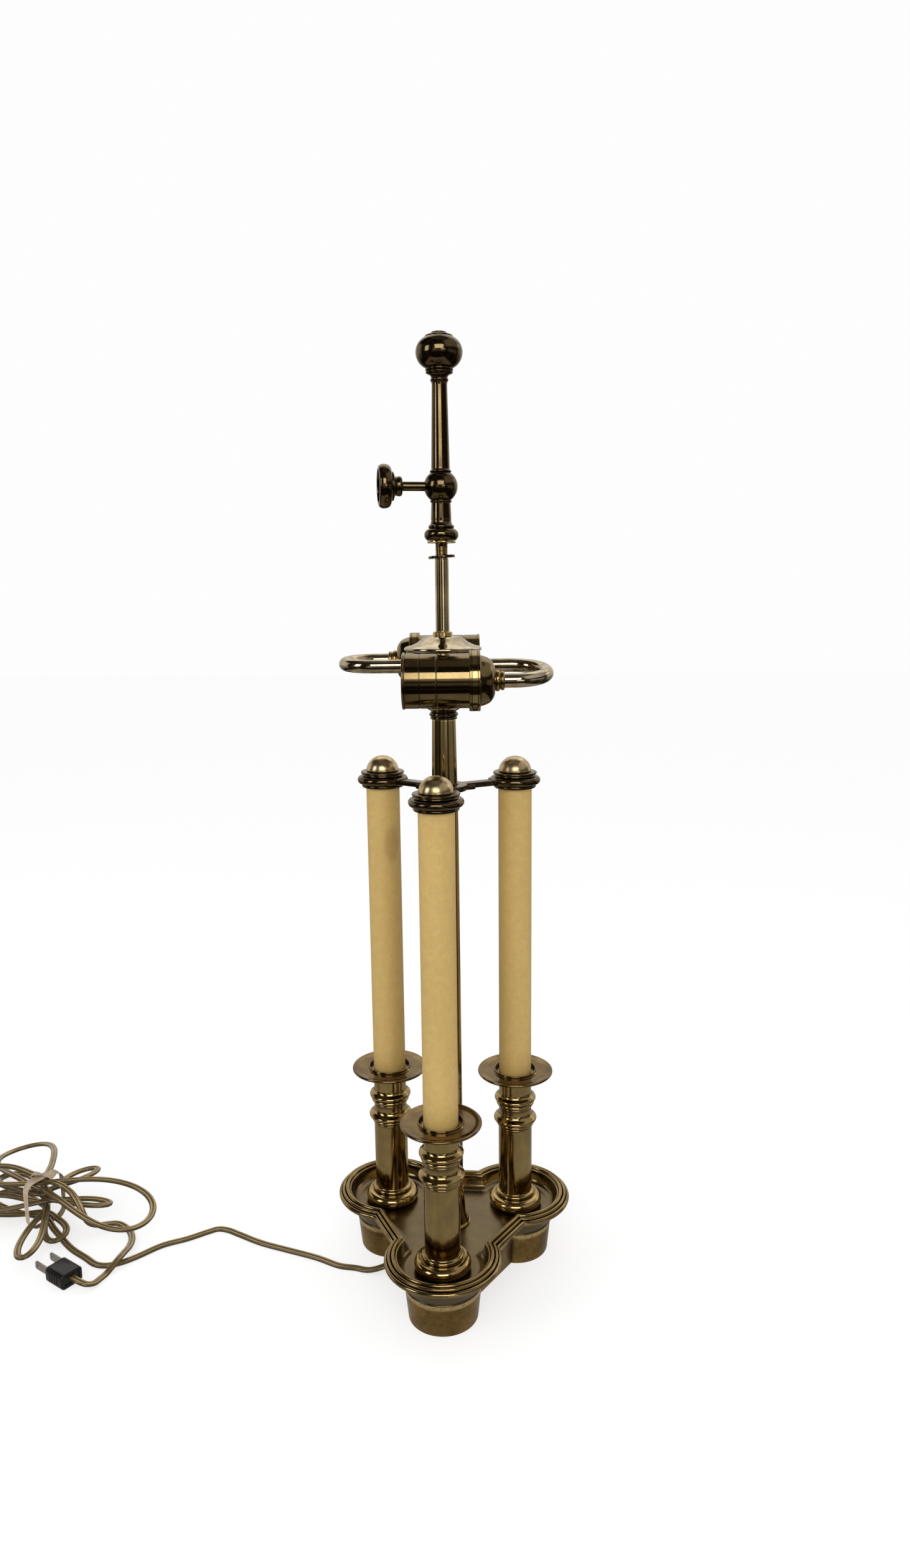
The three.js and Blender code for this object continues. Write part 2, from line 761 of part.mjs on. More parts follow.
// Yoke: a hub round the column, three flat arms and a turned ring over each candle
const columnTaper = (columnTopRadius - columnMiddleRadius) / (columnHeight - columnMiddleHeight);
const columnAtYoke = columnMiddleRadius + columnTaper * (yokeArmLow - trayFloorHeight - columnMiddleHeight);
const yokeRing = turned([
  [tieRodRadius + gap, candleTop],
  [yokeSeatRadius, candleTop],
  [yokeSeatRadius, yokeRingLow],
  ...bulge(yokeRingRadius - yokeRingEdge, yokeRingRadius, yokeRingLow, yokeRingTop, 3),
  [yokeBeadRadius, yokeRingTop],
  [yokeBeadRadius, yokeTop],
  [tieRodRadius + gap, yokeTop],
], 12);
const yokeArms = candles.map(({ angle }) => box(lobeDistance - tieNutRadius, yokeArmWidth, yokeArmThickness)
  .translate((lobeDistance - tieNutRadius) / 2, 0, yokeArmLow + yokeArmThickness / 2)
  .rotateZ(angle));
const yokeHub = rod(yokeHubRadius, yokeArmLow, yokeArmLow + yokeHubThickness, 12);
const yokeBore = rod(columnAtYoke + gap, yokeArmLow - overrun, yokeArmLow + yokeHubThickness + overrun, 12);
add('candle_yoke', cut(join(yokeHub, ...yokeArms, ...atCandles(yokeRing)), yokeBore), darkBrass);

// Stem pipe inside the column, with a nut and its washer under the tray and a nut in the cluster body
add('stem_pipe', tube(stemBore, stemRadius, trayUnderside - stemTail, stemTop, 12), steel);
const stemNutTop = trayUnderside - stemWasherThickness;
add('stem_nut_low', join(
  tube(stemRadius + gap, stemWasherRadius, stemNutTop, trayUnderside, 12),
  hexNut(stemNutRadius, stemRadius + gap, stemNutTop - stemNutHeight, stemNutTop),
), steel);
const highNutFoot = bodyFloor + gap;
const highNutTop = highNutFoot + stemNutHeight;
add('stem_nut_high', hexNut(stemNutRadius, stemRadius + gap, highNutFoot, highNutTop), steel);

// Hickey inside the cluster body: a boss on the stem, a boss under the rod, and two bars
const hickeyMiddle = (hickeyFoot + hickeySeat + hickeyBossHeight) / 2;
const hickeyBars = [-1, 1].map((side) => box(hickeyBarDepth, hickeyBarWidth, hickeyWindow + hickeyBossHeight)
  .translate(side * (hickeyRadius - hickeyBarDepth / 2), 0, hickeyMiddle));
add('hickey', join(
  tube(stemRadius + gap, hickeyRadius, hickeyFoot, hickeyFoot + hickeyBossHeight, 12),
  tube(rodRadius + gap, hickeyRadius, hickeySeat, hickeySeat + hickeyBossHeight, 12),
  ...hickeyBars,
), steel);

// Cluster: everything from here to the switch turns with it about the lamp's axis
const cluster = new THREE.Group();
cluster.rotation.z = clusterYaw;
lamp.add(cluster);

// The switch's frame: its +Z points out and down through the bowl
const switchPlace = new THREE.Group();
switchPlace.position.set(0, switchOut, collarTop + switchRise);
switchPlace.rotation.x = -switchTilt;
cluster.add(switchPlace);
switchPlace.updateMatrix();

const bowl = [
  [bodyNeckRadius, collarTop],
  ...bowlShares.map(([flare, rise]) => [
    bodyNeckRadius + (bodyRadius - bodyNeckRadius) * flare,
    collarTop + bodyHeight * rise,
  ]),
  [bodyRadius, bodyTop],
];
const bowlInside = bowl.map(([radius, height]) => [
  radius - bodyWall,
  height + (bodyWall * (bodyTop - height)) / bodyHeight,
]);
const bodyOutline = [[columnBore, collarTop], ...bowl, ...bowlInside.reverse(), [columnBore, bodyFloor]];
const armHole = rod(armRadius + gap, -bodyRadius - overrun, bodyRadius + overrun, 12)
  .rotateY(Math.PI / 2).translate(0, 0, armExitHeight);
const switchHole = rod(switchBushRadius + gap, -switchBodyInset - overrun, overrun * 2, 10)
  .applyMatrix4(switchPlace.matrix);
add('cluster_body', cut(turned(bodyOutline, 16), armHole, switchHole), paleBrass, cluster);

// Cover: a band round the body, a rim and a hollow bell, held down by a nut on the rod
const coverBore = rodRadius + gap;
const bandInside = bodyRadius + gap;
const bellCentre = [coverBandRadius, coverTop];
const bellInside = coverTopRadius - coverWall;
const coverOutline = [
  [bandInside, bodyTop - coverBandHeight],
  [coverBandRadius, bodyTop - coverBandHeight],
  ...bulge(coverBandRadius, coverRadius, bodyTop, coverRimTop, 2),
  ...quarter([coverBandRadius, coverRimTop], [coverTopRadius, coverTop], bellCentre, 4).slice(1),
  [coverBore, coverTop],
  [coverBore, coverTop - coverWall],
  [bellInside, coverTop - coverWall],
  ...quarter([bellInside, coverTop], [coverBandRadius, coverRimTop - coverWall], bellCentre, 3).slice(1, -1),
  [bandInside - coverLedge, bodyTop],
  [bandInside, bodyTop],
];
add('cluster_cover', turned(coverOutline, 16), paleBrass, cluster);

add('cover_nut', turned([
  [coverBore, coverTop],
  [coverNutRadius, coverTop],
  [coverNutRadius, coverTop + coverNutHeight - coverNutEdge],
  [coverNutRadius - coverNutEdge, coverTop + coverNutHeight],
  [coverBore, coverTop + coverNutHeight],
], 14), paleBrass);

// Rotary switch with the nut on its bush, and its knob
const switchBody = turned([
  [0, -switchBodyInset - switchBodyLength],
  [switchBodyRadius, -switchBodyInset - switchBodyLength],
  [switchBodyRadius, -switchBodyInset],
  [switchBushRadius, -switchBodyInset],
  [switchBushRadius, switchBushLength - switchBodyInset],
  [knobShaftRadius, switchBushLength - switchBodyInset],
  [knobShaftRadius, switchBushLength - switchBodyInset + knobShaftLength],
  [0, switchBushLength - switchBodyInset + knobShaftLength],
], 10);
const switchNut = hexNut(switchNutRadius, knobShaftRadius, switchNutOut, switchNutOut + switchNutHeight);
add('switch_body', join(switchBody, switchNut), phenolic, switchPlace);
const knobFoot = switchBushLength - switchBodyInset + gap;
const knobTop = knobFoot + knobLength;
add('switch_knob', turned([
  [0, knobFoot + knobShaftLength],
  [knobShaftRadius + gap, knobFoot + knobShaftLength],
  [knobShaftRadius + gap, knobFoot],
  [knobRadius, knobFoot],
  [knobRadius, knobTop - knobEdge],
  [knobRadius - knobEdge, knobTop],
  [0, knobTop],
], 10), goldBrass, switchPlace);

// The lights: an arm leaves the body along +X, turns back through half a circle, and carries a holder
const armLine = -2 * armBend;
const armStart = armNutOut - armNutHeight - armEndRun;
const armRoute = [[armStart, 0, 0], [(armStart + armReach) / 2, 0, 0]];
const bendSteps = 8;
for (let i = 0; i <= bendSteps; i++) {
  const turn = (Math.PI * i) / bendSteps;
  armRoute.push([armReach + armBend * Math.sin(turn), armBend * (Math.cos(turn) - 1), 0]);
}
armRoute.push([armReach - armReturn, armLine, 0]);
const armTube = sweep(ringShape(armRadius, 8, armBore, 6), vectors(armRoute), armSteps);
const armNut = hexNut(armNutRadius, (armRadius + armBore) / 2, armNutOut - armNutHeight, armNutOut);
const arm = join(armTube, armNut.rotateY(Math.PI / 2));

const onHolder = (geometry) => geometry.rotateY(Math.PI / 2).translate(0, armLine, 0);
const mouth = -socketMouth;
const capFoot = mouth + shellLength;
const shellEnd = capFoot + shellTuck;
const capBandTop = capFoot + capBandHeight;
const capTop = capBandTop + capDomeHeight;

const shellInside = socketRadius - shellWall;
const shell = onHolder(turned([
  [shellInside, mouth],
  ...bulge(socketRadius, shellLipRadius, mouth, mouth + shellLipHeight, 2),
  ...grooveDistances.flatMap((distance) => [
    [socketRadius, mouth + distance - grooveWidth / 2],
    [socketRadius - grooveDepth, mouth + distance],
    [socketRadius, mouth + distance + grooveWidth / 2],
  ]),
  [socketRadius, shellEnd],
  [shellInside, shellEnd],
], 12));

const capSide = capRadius - capEdge;
const capCentre = [capNeckRadius, capBandTop];
const cap = onHolder(turned([
  [socketRadius + gap, capFoot],
  [capSide, capFoot],
  [capRadius, capFoot + capEdge],
  [capRadius, capBandTop - capEdge],
  ...quarter([capSide, capBandTop], [capNeckRadius, capTop], capCentre, 3),
  [armRadius + gap, capTop],
  [armRadius + gap, capTop - capWall],
  ...quarter([capNeckRadius, capTop - capWall], [socketRadius + gap, capBandTop], capCentre, 2),
], 12));

const insertRadius = shellInside - gap;
const insertInside = insertRadius - insertWall;
const insertMouth = mouth + insertRecess;
const insertEnd = insertMouth + insertLength;
const insertFloorAt = insertEnd - insertFloor;
const contactAt = insertFloorAt - contactHeight;
const insert = onHolder(turned([
  [0, contactAt],
  [contactRadius, contactAt],
  [contactRadius, insertFloorAt],
  [insertInside, insertFloorAt],
  [insertInside, insertMouth],
  [insertRadius, insertMouth],
  [insertRadius, insertEnd],
  [0, insertEnd],
], 12));
const threadRadius = insertInside - gap;
const threadEnd = insertMouth + threadLength;
const screwShell = onHolder(tube(threadRadius - threadWall, threadRadius, insertMouth, threadEnd, 12));
const armCollar = onHolder(turned([
  [armRadius + gap, capTop + gap],
  ...bulge(armCollarRadius - capEdge, armCollarRadius, capTop + gap, capTop + gap + armCollarLength, 3),
  [armRadius + gap, capTop + gap + armCollarLength],
], 12));

const lights = [
  { side: 'front', yaw: 0, droop: armFrontDroop },
  { side: 'rear', yaw: Math.PI, droop: armRearDroop },
].map(({ side, yaw, droop }) => {
  const place = new THREE.Group();
  place.position.z = armExitHeight;
  place.rotation.set(droop, 0, yaw, 'ZXY');
  place.updateMatrix();
  cluster.add(place);
  add(`arm_${side}`, arm.clone(), paleBrass, place);
  add(`arm_collar_${side}`, armCollar.clone(), goldBrass, place);
  add(`socket_cap_${side}`, cap.clone(), goldBrass, place);
  add(`socket_shell_${side}`, shell.clone(), goldBrass, place);
  add(`socket_insert_${side}`, insert.clone(), phenolic, place);
  add(`screw_shell_${side}`, screwShell.clone(), paleBrass, place);
  return { side, matrix: place.matrix };
});

// Wires from each holder through its arm to a wire nut in the body, where the cord ends too
const wireNutFoot = collarTop + wireNutRise;
const wireNutTop = wireNutFoot + wireNutLength;
lights.forEach(({ side, matrix }, i) => {
  const way = i === 0 ? 1 : -1;
  const holderEnd = [[insertEnd + gap, armLine, 0], [capTop, armLine, 0]];
  const inLight = [...holderEnd, ...armRoute.slice(2).reverse(), armRoute[0]];
  const toNut = wireDropShares.map(([across, down]) => [
    way * (armStart + (wireNutX + wireNutTipRadius - armStart) * across),
    wireNutY * across,
    armExitHeight + (wireNutTop - gap - armExitHeight) * down,
  ]);
  const route = [...vectors(inLight).map((point) => point.applyMatrix4(matrix)), ...vectors(toNut)];
  const wireNut = turned([
    [0, wireNutFoot],
    [wireNutTipRadius, wireNutFoot],
    [wireNutRadius, wireNutTop],
    [0, wireNutTop],
  ], 8).translate(way * wireNutX, wireNutY, 0);
  const wire = sweep(ringShape(wireRadius, 5), route, wireSteps);
  add(`socket_wire_${side}`, join(wire, wireNut), plugBlack, cluster);
});

// Shade rod with its shoulder, thread and slim guide end, and a loose washer
const rodTop = riserBoreTop - rodEndRoom;
add('shade_rod', turned([
  [0, rodFoot],
  [rodRadius, rodFoot],
  [rodRadius, rodShoulderHeight],
  [rodThreadRadius, rodShoulderHeight],
  [rodThreadRadius, rodThreadTop],
  [rodGuideRadius, rodThreadTop],
  [rodGuideRadius, rodTop],
  [0, rodTop],
], 12), paleBrass);
const washer = tube(rodWasherBore, rodWasherRadius, 0, rodWasherThickness, 12);
const rodWasher = add('rod_washer', washer, darkBrass);
rodWasher.position.z = rodShoulderHeight + rodWasherLift;
rodWasher.rotation.y = -rodWasherTilt;

// Riser: a ferrule under a turned sleeve with a ball, a slim shaft and a cup for the finial
const ferruleTop = ferruleHeight + ferruleThickness;
add('riser_ferrule', tube(rodThreadRadius + gap, ferruleRadius, ferruleHeight, ferruleTop, 12), goldBrass);

const flangeTop = riserFoot + riserFlangeHeight;
const sleeveFoot = flangeTop + riserStepHeight;
const ballLow = riserBallHeight - riserBallTall / 2;
const ballHigh = riserBallHeight + riserBallTall / 2;
const collarHigh = riserShaftTop + riserCollarHeight;
const riser = turned([
  [0, riserBoreTop],
  [riserGuideBore, riserBoreTop],
  [riserGuideBore, riserFoot + riserWideDepth],
  [riserWideBore, riserFoot + riserWideDepth],
  [riserWideBore, riserFoot],
  ...bulge(riserFlangeRadius - riserFlangeEdge, riserFlangeRadius, riserFoot, flangeTop, 3),
  [riserStepRadius, flangeTop],
  [riserStepRadius, sleeveFoot],
  [riserSleeveRadius, sleeveFoot],
  ...ball(riserBallRadius, riserSleeveTopRadius, ballLow, ballHigh, 5),
  [riserShaftFootRadius, ballHigh],
  [riserShaftRadius, riserShaftTop],
  [riserCollarRadius, (riserShaftTop + collarHigh) / 2],
  [riserShaftRadius, collarHigh],
  [riserCupRadius, collarHigh],
  [riserCupRadius, riserTop],
  [finialTenonRadius + gap, riserTop],
  [finialTenonRadius + gap, finialFoot - finialTenonLength - gap],
  [0, finialFoot - finialTenonLength - gap],
], 12);
const screwPlace = (geometry) =>
  geometry.rotateY(Math.PI / 2).rotateZ(screwYaw).translate(0, 0, riserBallHeight);
add('riser', cut(riser, screwPlace(rod(screwRadius + gap, 0, riserBallRadius + overrun, 12))), darkBrass);

// Thumb-screw: it grips the guide end of the rod
const screwTip = rodGuideRadius + gap;
const screwCollarFoot = screwTip + screwLength;
const screwStepFoot = screwCollarFoot + screwCollarLength;
const wheelFoot = screwStepFoot + screwStepLength;
const wheelTop = wheelFoot + wheelThickness;
const thumbScrew = turned([
  [0, screwTip],
  [screwRadius, screwTip],
  [screwRadius, screwCollarFoot],
  [screwCollarRadius, screwCollarFoot],
  [screwCollarRadius, screwStepFoot],
  [screwStepRadius, screwStepFoot],
  [screwStepRadius, wheelFoot],
  [wheelRadius - wheelEdge, wheelFoot],
  [wheelRadius, wheelFoot + wheelEdge],
  [wheelRadius, wheelTop - wheelEdge],
  [wheelRadius - wheelEdge, wheelTop],
  [wheelDishRadius, wheelTop],
  [wheelDishRadius - wheelEdge, wheelTop - wheelDishDepth],
  [0, wheelTop - wheelDishDepth],
], 12);
add('thumb_screw', screwPlace(thumbScrew), darkBrass);

// Finial
const finialBallLow = finialFoot + finialSeatHeight;
const finialBallHigh = finialBallLow + finialBallHeight;
const finialCapTop = finialBallHigh + finialCapHeight;
add('finial', turned([
  [0, finialFoot - finialTenonLength],
  [finialTenonRadius, finialFoot - finialTenonLength],
  [finialTenonRadius, finialFoot],
  [finialSeatRadius, finialFoot],
  [finialSeatRadius, finialBallLow],
  ...ball(finialBallRadius, finialNeckRadius, finialBallLow, finialBallHigh, 6),
  [finialCapRadius, finialCapTop],
  [finialButtonRadius, finialCapTop],
  [finialButtonRadius, finialCapTop + finialButtonHeight],
  [0, finialCapTop + finialButtonHeight],
], 12), darkBrass);

// Cord: two conductors side by side, so its section is flat with rounded edges
const cordShape = (roundShares) => new THREE.Shape(roundShares.map(([tall, wide]) =>
  new THREE.Vector2((cordThickness / 2) * tall, (cordWidth / 2) * wide)));
const cordSection = cordShape(cordShares);

// Inside the lamp: from the bushing, under the tray and up the stem to the wire nuts
add('inner_cord', sweep(cordSection, vectors([
  [-37.7, -9.65, 7.5], [-32, -6.3, 7.5], [-20, -1.5, 7.5], [-8, -0.5, 8.2], [-2, 0, 12], [0, 0, 18],
  [0, 0, 30], [0, 0, 120], [0, 0, 230], [0, 0, 340], [0, 0, 430], [0, 0, 453], [0, -1.4, 457],
  [0, -4.4, 459], [0, -8, 459.2],
]), innerCordSteps), cordVinyl);

// On the table, from the skirt to the hank
add('cord_run', sweep(cordSection, vectors([
  [-38, -9.8, 7.5], [-42, -12.1, 7.5], [-46.5, -14.6, 7.1], [-54.5, -17, 4.9], [-63, -16.4, 2.5],
  [-73.3, -13.2, 1.5], [-85.3, -11.8, 1.5], [-105.4, -3.3, 1.5], [-132, 5, 1.5], [-154.9, 12.2, 1.5],
  [-176.4, 22.2, 1.5], [-186.7, 26.9, 1.5], [-195.5, 28, 1.5], [-202.5, 23.7, 1.5], [-216.3, 13.5, 1.5],
  [-233.8, 3.2, 1.5], [-248.8, -12.3, 1.5], [-258, -20.2, 1.5], [-268, -24.8, 1.5], [-277, -24.2, 1.5],
  [-288.7, -16.9, 1.5], [-304, -7.4, 1.5], [-314, 0.8, 1.6], [-318.1, 4.8, 1.6], [-322.3, 8.7, 1.6],
]), cordRunSteps, LevelCurve), cordVinyl);

// From the top of the hank down through its widest loop, over the run and round to the plug
add('cord_tail', sweep(cordSection, vectors([
  [-328.9, 22.3, 40.5], [-323, 19.9, 40.1], [-314, 17.4, 35.6], [-307, 14.3, 28], [-302, 11.4, 20],
  [-298, 10.8, 13.4], [-293.6, 14.4, 9], [-288.9, 21.3, 6], [-280.1, 26.5, 3.4], [-268.9, 20.6, 1.9],
  [-261.6, 9.2, 2.2], [-258.6, -4, 3.9], [-258, -12, 5.9], [-258.7, -20.5, 6.6], [-260.9, -28, 4.9],
  [-264.2, -34.4, 1.9], [-266.4, -41.5, 2], [-268.2, -48.5, 3.2], [-272.2, -53, 5.8], [-277.8, -52.2, 7.2],
  [-282.2, -49.65, 7.25], [-286.5, -47.15, 7.25],
]), cordTailSteps, LevelCurve), cordVinyl);

// Hank: loops by turns to the left and the right of the tie, each one level higher than the last
const hankPoint = (angle, along, across, level) => {
  const x = along * Math.cos(angle) - across * Math.sin(angle);
  const y = along * Math.sin(angle) + across * Math.cos(angle);
  const out = Math.max(0, Math.hypot(x, y) - hankLevelReach) / (hankSpread - hankLevelReach);
  const drop = 1 - hankSag * Math.min(1, out) ** 2;
  const foot = cordThickness / 2 + gap;
  return new THREE.Vector3(hankX + x, hankY + y, foot + (hankBase - foot + level * hankPitch) * drop);
};
const startAngle = THREE.MathUtils.degToRad(hankStartAngle);
const endAngle = THREE.MathUtils.degToRad(hankEndAngle);
const hankRoute = [hankPoint(startAngle, hankStartRun, 0, 0), hankPoint(startAngle, hankStartRun / 2, 0, 0)];
hankRoute.forEach((point, i) => { point.z = cordThickness / 2 + gap * (i + 1); });
hankLoops.forEach(([degrees, reach, halfWidth, sense], level) => {
  const angle = THREE.MathUtils.degToRad(degrees);
  hankRoute.push(hankPoint(angle, 0, 0, level));
  for (let i = 0; i <= loopSteps; i++) {
    const share = loopTrimShare + (1 - 2 * loopTrimShare) * (i / loopSteps);
    const climb = THREE.MathUtils.smoothstep(share, climbStartShare, 1 - climbStartShare);
    hankRoute.push(hankPoint(
      angle,
      reach * Math.sin(Math.PI * share),
      sense * halfWidth * Math.sin(2 * Math.PI * share),
      level + climb,
    ));
  }
});
const topLevel = hankLoops.length;
for (const share of [0, 0.5, 1]) hankRoute.push(hankPoint(endAngle, hankEndRun * share, 0, topLevel));

// The least distance between the faces of two passes, measured on points along the route
function leastGap(route) {
  const samples = [];
  const parts = 4;
  let travelled = 0;
  for (let i = 1; i < route.length; i++) {
    for (let k = 0; k < parts; k++) {
      const point = route[i - 1].clone().lerp(route[i], k / parts);
      samples.push({ point, at: travelled + (route[i].distanceTo(route[i - 1]) * k) / parts });
    }
    travelled += route[i].distanceTo(route[i - 1]);
  }
  let least = Infinity;
  samples.forEach((a, i) => samples.slice(i + 1).forEach((b) => {
    if (b.at - a.at < hankSameRun) return;
    const beside = Math.hypot(a.point.x - b.point.x, a.point.y - b.point.y) - cordWidth;
    const above = Math.abs(a.point.z - b.point.z) - cordThickness;
    least = Math.min(least, Math.max(beside, above));
  }));
  return { least, travelled };
}
const { least, travelled } = leastGap(hankRoute);
console.log(`hank: ${travelled.toFixed(0)} mm of cord, least gap ${least.toFixed(2)} mm`);

// A flat cord that stays level: its section is a list of [across, up] shares, and its ends are flat
function levelCord(route, section) {
  const positions = [];
  const index = [];
  const sides = section.length;
  route.forEach((point, i) => {
    const before = route[Math.max(0, i - 1)];
    const after = route[Math.min(route.length - 1, i + 1)];
    const length = Math.hypot(after.x - before.x, after.y - before.y);
    const across = [(before.y - after.y) / length, (after.x - before.x) / length];
    for (const [wide, tall] of section) {
      const [side, up] = [(cordWidth / 2) * wide, (cordThickness / 2) * tall];
      positions.push(point.x + across[0] * side, point.y + across[1] * side, point.z + up);
    }
    if (i === 0) return;
    for (let k = 0; k < sides; k++) {
      const [a, b] = [(i - 1) * sides + k, (i - 1) * sides + ((k + 1) % sides)];
      index.push(a, b, b + sides, a, b + sides, a + sides);
    }
  });
  const last = (route.length - 1) * sides;
  for (let k = 1; k < sides - 1; k++) {
    index.push(0, k + 1, k);
    index.push(last, last + k, last + k + 1);
  }
  const geometry = new THREE.BufferGeometry();
  geometry.setAttribute('position', new THREE.Float32BufferAttribute(positions, 3));
  geometry.setIndex(index);
  return geometry;
}
add('cord_hank', levelCord(hankRoute, hankShares), cordVinyl);

// Paper tie: a band round all the passes
const tieTop = hankBase + topLevel * hankPitch + cordThickness / 2 + tieSlack + tieThickness;
const tieShape = new THREE.Shape([
  new THREE.Vector2(tieWidth, gap),
  new THREE.Vector2(tieWidth, tieTop),
  new THREE.Vector2(-tieWidth, tieTop),
  new THREE.Vector2(-tieWidth, gap),
]);
tieShape.holes.push(new THREE.Path([
  new THREE.Vector2(tieWidth - tieThickness, gap + tieThickness),
  new THREE.Vector2(tieWidth - tieThickness, tieTop - tieThickness),
  new THREE.Vector2(tieThickness - tieWidth, tieTop - tieThickness),
  new THREE.Vector2(tieThickness - tieWidth, gap + tieThickness),
]));
const tie = slab(tieShape, -tieDepth / 2, tieDepth / 2)
  .rotateX(Math.PI / 2).rotateZ(Math.PI / 2 + tieYaw).translate(hankX, hankY, 0);
add('hank_tie', tie, tiePaper);

// Plug: a moulded body with its corners cut, and two blades
const plugPlace = (geometry) => geometry.rotateZ(plugYaw).translate(plugX, plugY, 0);
const plugMiddle = plugHeight / 2;
const [sideAt, topAt] = [plugWidth / 2, plugHeight / 2];
const plugOutline = [[-1, -1], [1, -1], [1, 1], [-1, 1]].flatMap(([a, b]) => {
  const corners = [
    new THREE.Vector2(a * sideAt, b * (topAt - plugCorner)),
    new THREE.Vector2(a * (sideAt - plugCorner), b * topAt),
  ];
  return a === b ? corners : corners.reverse();
});
const plugBlock = slab(new THREE.Shape(plugOutline), 0, plugLength)
  .rotateX(Math.PI / 2).rotateZ(Math.PI / 2).translate(0, 0, plugMiddle);
const bladePlace = (geometry, side, start) =>
  geometry.translate(start, side * (bladeSpacing / 2), plugMiddle);
const bladeRoot = plugLength - bladeSeat;
const bladeSlots = [-1, 1].map((side) => bladePlace(
  box(bladeSeat + gap + overrun, bladeThickness + gap * 2, bladeWidth + gap * 2),
  side,
  bladeRoot - gap + (bladeSeat + gap + overrun) / 2,
));
const cordPocket = box(plugPocket * 2, cordWidth + gap * 4, cordThickness + gap * 4)
  .translate(0, 0, plugMiddle);
add('plug_body', plugPlace(cut(plugBlock, ...bladeSlots, cordPocket)), plugBlack);
for (const [name, side] of [['plug_blade_left', -1], ['plug_blade_right', 1]]) {
  const blade = box(bladeSeat + bladeLength, bladeThickness, bladeWidth);
  add(name, plugPlace(bladePlace(blade, side, bladeRoot + (bladeSeat + bladeLength) / 2)), steel);
}

export default lamp;
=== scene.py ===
import math

import bmesh
import bpy
from mathutils import Matrix, Vector


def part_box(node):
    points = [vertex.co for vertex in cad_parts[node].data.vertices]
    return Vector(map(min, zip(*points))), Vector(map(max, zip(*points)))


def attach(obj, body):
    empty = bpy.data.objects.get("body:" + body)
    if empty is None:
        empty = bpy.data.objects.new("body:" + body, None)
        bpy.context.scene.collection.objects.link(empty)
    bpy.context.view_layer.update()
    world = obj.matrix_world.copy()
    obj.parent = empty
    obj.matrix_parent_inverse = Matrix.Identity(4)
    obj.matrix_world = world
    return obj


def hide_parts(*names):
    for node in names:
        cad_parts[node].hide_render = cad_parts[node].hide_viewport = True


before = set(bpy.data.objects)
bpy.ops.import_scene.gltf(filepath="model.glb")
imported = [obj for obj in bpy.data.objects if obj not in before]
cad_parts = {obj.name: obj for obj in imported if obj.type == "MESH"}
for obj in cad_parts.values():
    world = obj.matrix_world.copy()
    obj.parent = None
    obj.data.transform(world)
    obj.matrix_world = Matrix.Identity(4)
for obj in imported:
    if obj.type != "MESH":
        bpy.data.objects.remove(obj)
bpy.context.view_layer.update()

mm = 0.001

# Camera. It stands in front of the lamp and a little to its right, just above the lamp holders,
# and looks down by ten degrees. Its lens is that of a telephone held upright.
lens_length = 23.73
camera_place = Vector((0.0739, -0.7245, 0.5157))
camera_yaw = math.radians(5.24)
camera_pitch = math.radians(-10.433)
camera_roll = math.radians(-0.647)

aim = (
    Matrix.Rotation(camera_yaw, 3, "Z")
    @ Matrix.Rotation(math.pi / 2 + camera_pitch, 3, "X")
    @ Matrix.Rotation(camera_roll, 3, "Z")
)
bpy.ops.object.camera_add(location=camera_place, rotation=aim.to_euler())
bpy.context.object.data.lens = lens_length
bpy.context.scene.camera = bpy.context.object


# Cord. Two stranded copper conductors lie side by side in clear gold vinyl. It leaves the skirt,
# crosses the table to a hank of eleven loops, and comes out of the top of the hank to its plug.
class Socket:
    """A socket of a material's nodes. Python's operators on it add Math nodes."""

    def __init__(self, finish, socket):
        self.finish = finish
        self.socket = socket

    def maths(self, operation, *values):
        return self.finish.node("Math", dict(enumerate((self, *values))), operation=operation)

    def __add__(self, other):
        return self.maths("ADD", other)

    def __radd__(self, other):
        return self.maths("ADD", other)

    def __sub__(self, other):
        return self.maths("SUBTRACT", other)

    def __rsub__(self, other):
        return self.maths("MULTIPLY_ADD", -1.0, other)

    def __mul__(self, other):
        return self.maths("MULTIPLY", other)

    def __rmul__(self, other):
        return self.maths("MULTIPLY", other)

    def __truediv__(self, other):
        return self.maths("DIVIDE", other)

    def clamped(self):
        return self.maths("MAXIMUM", 0.0).maths("MINIMUM", 1.0)


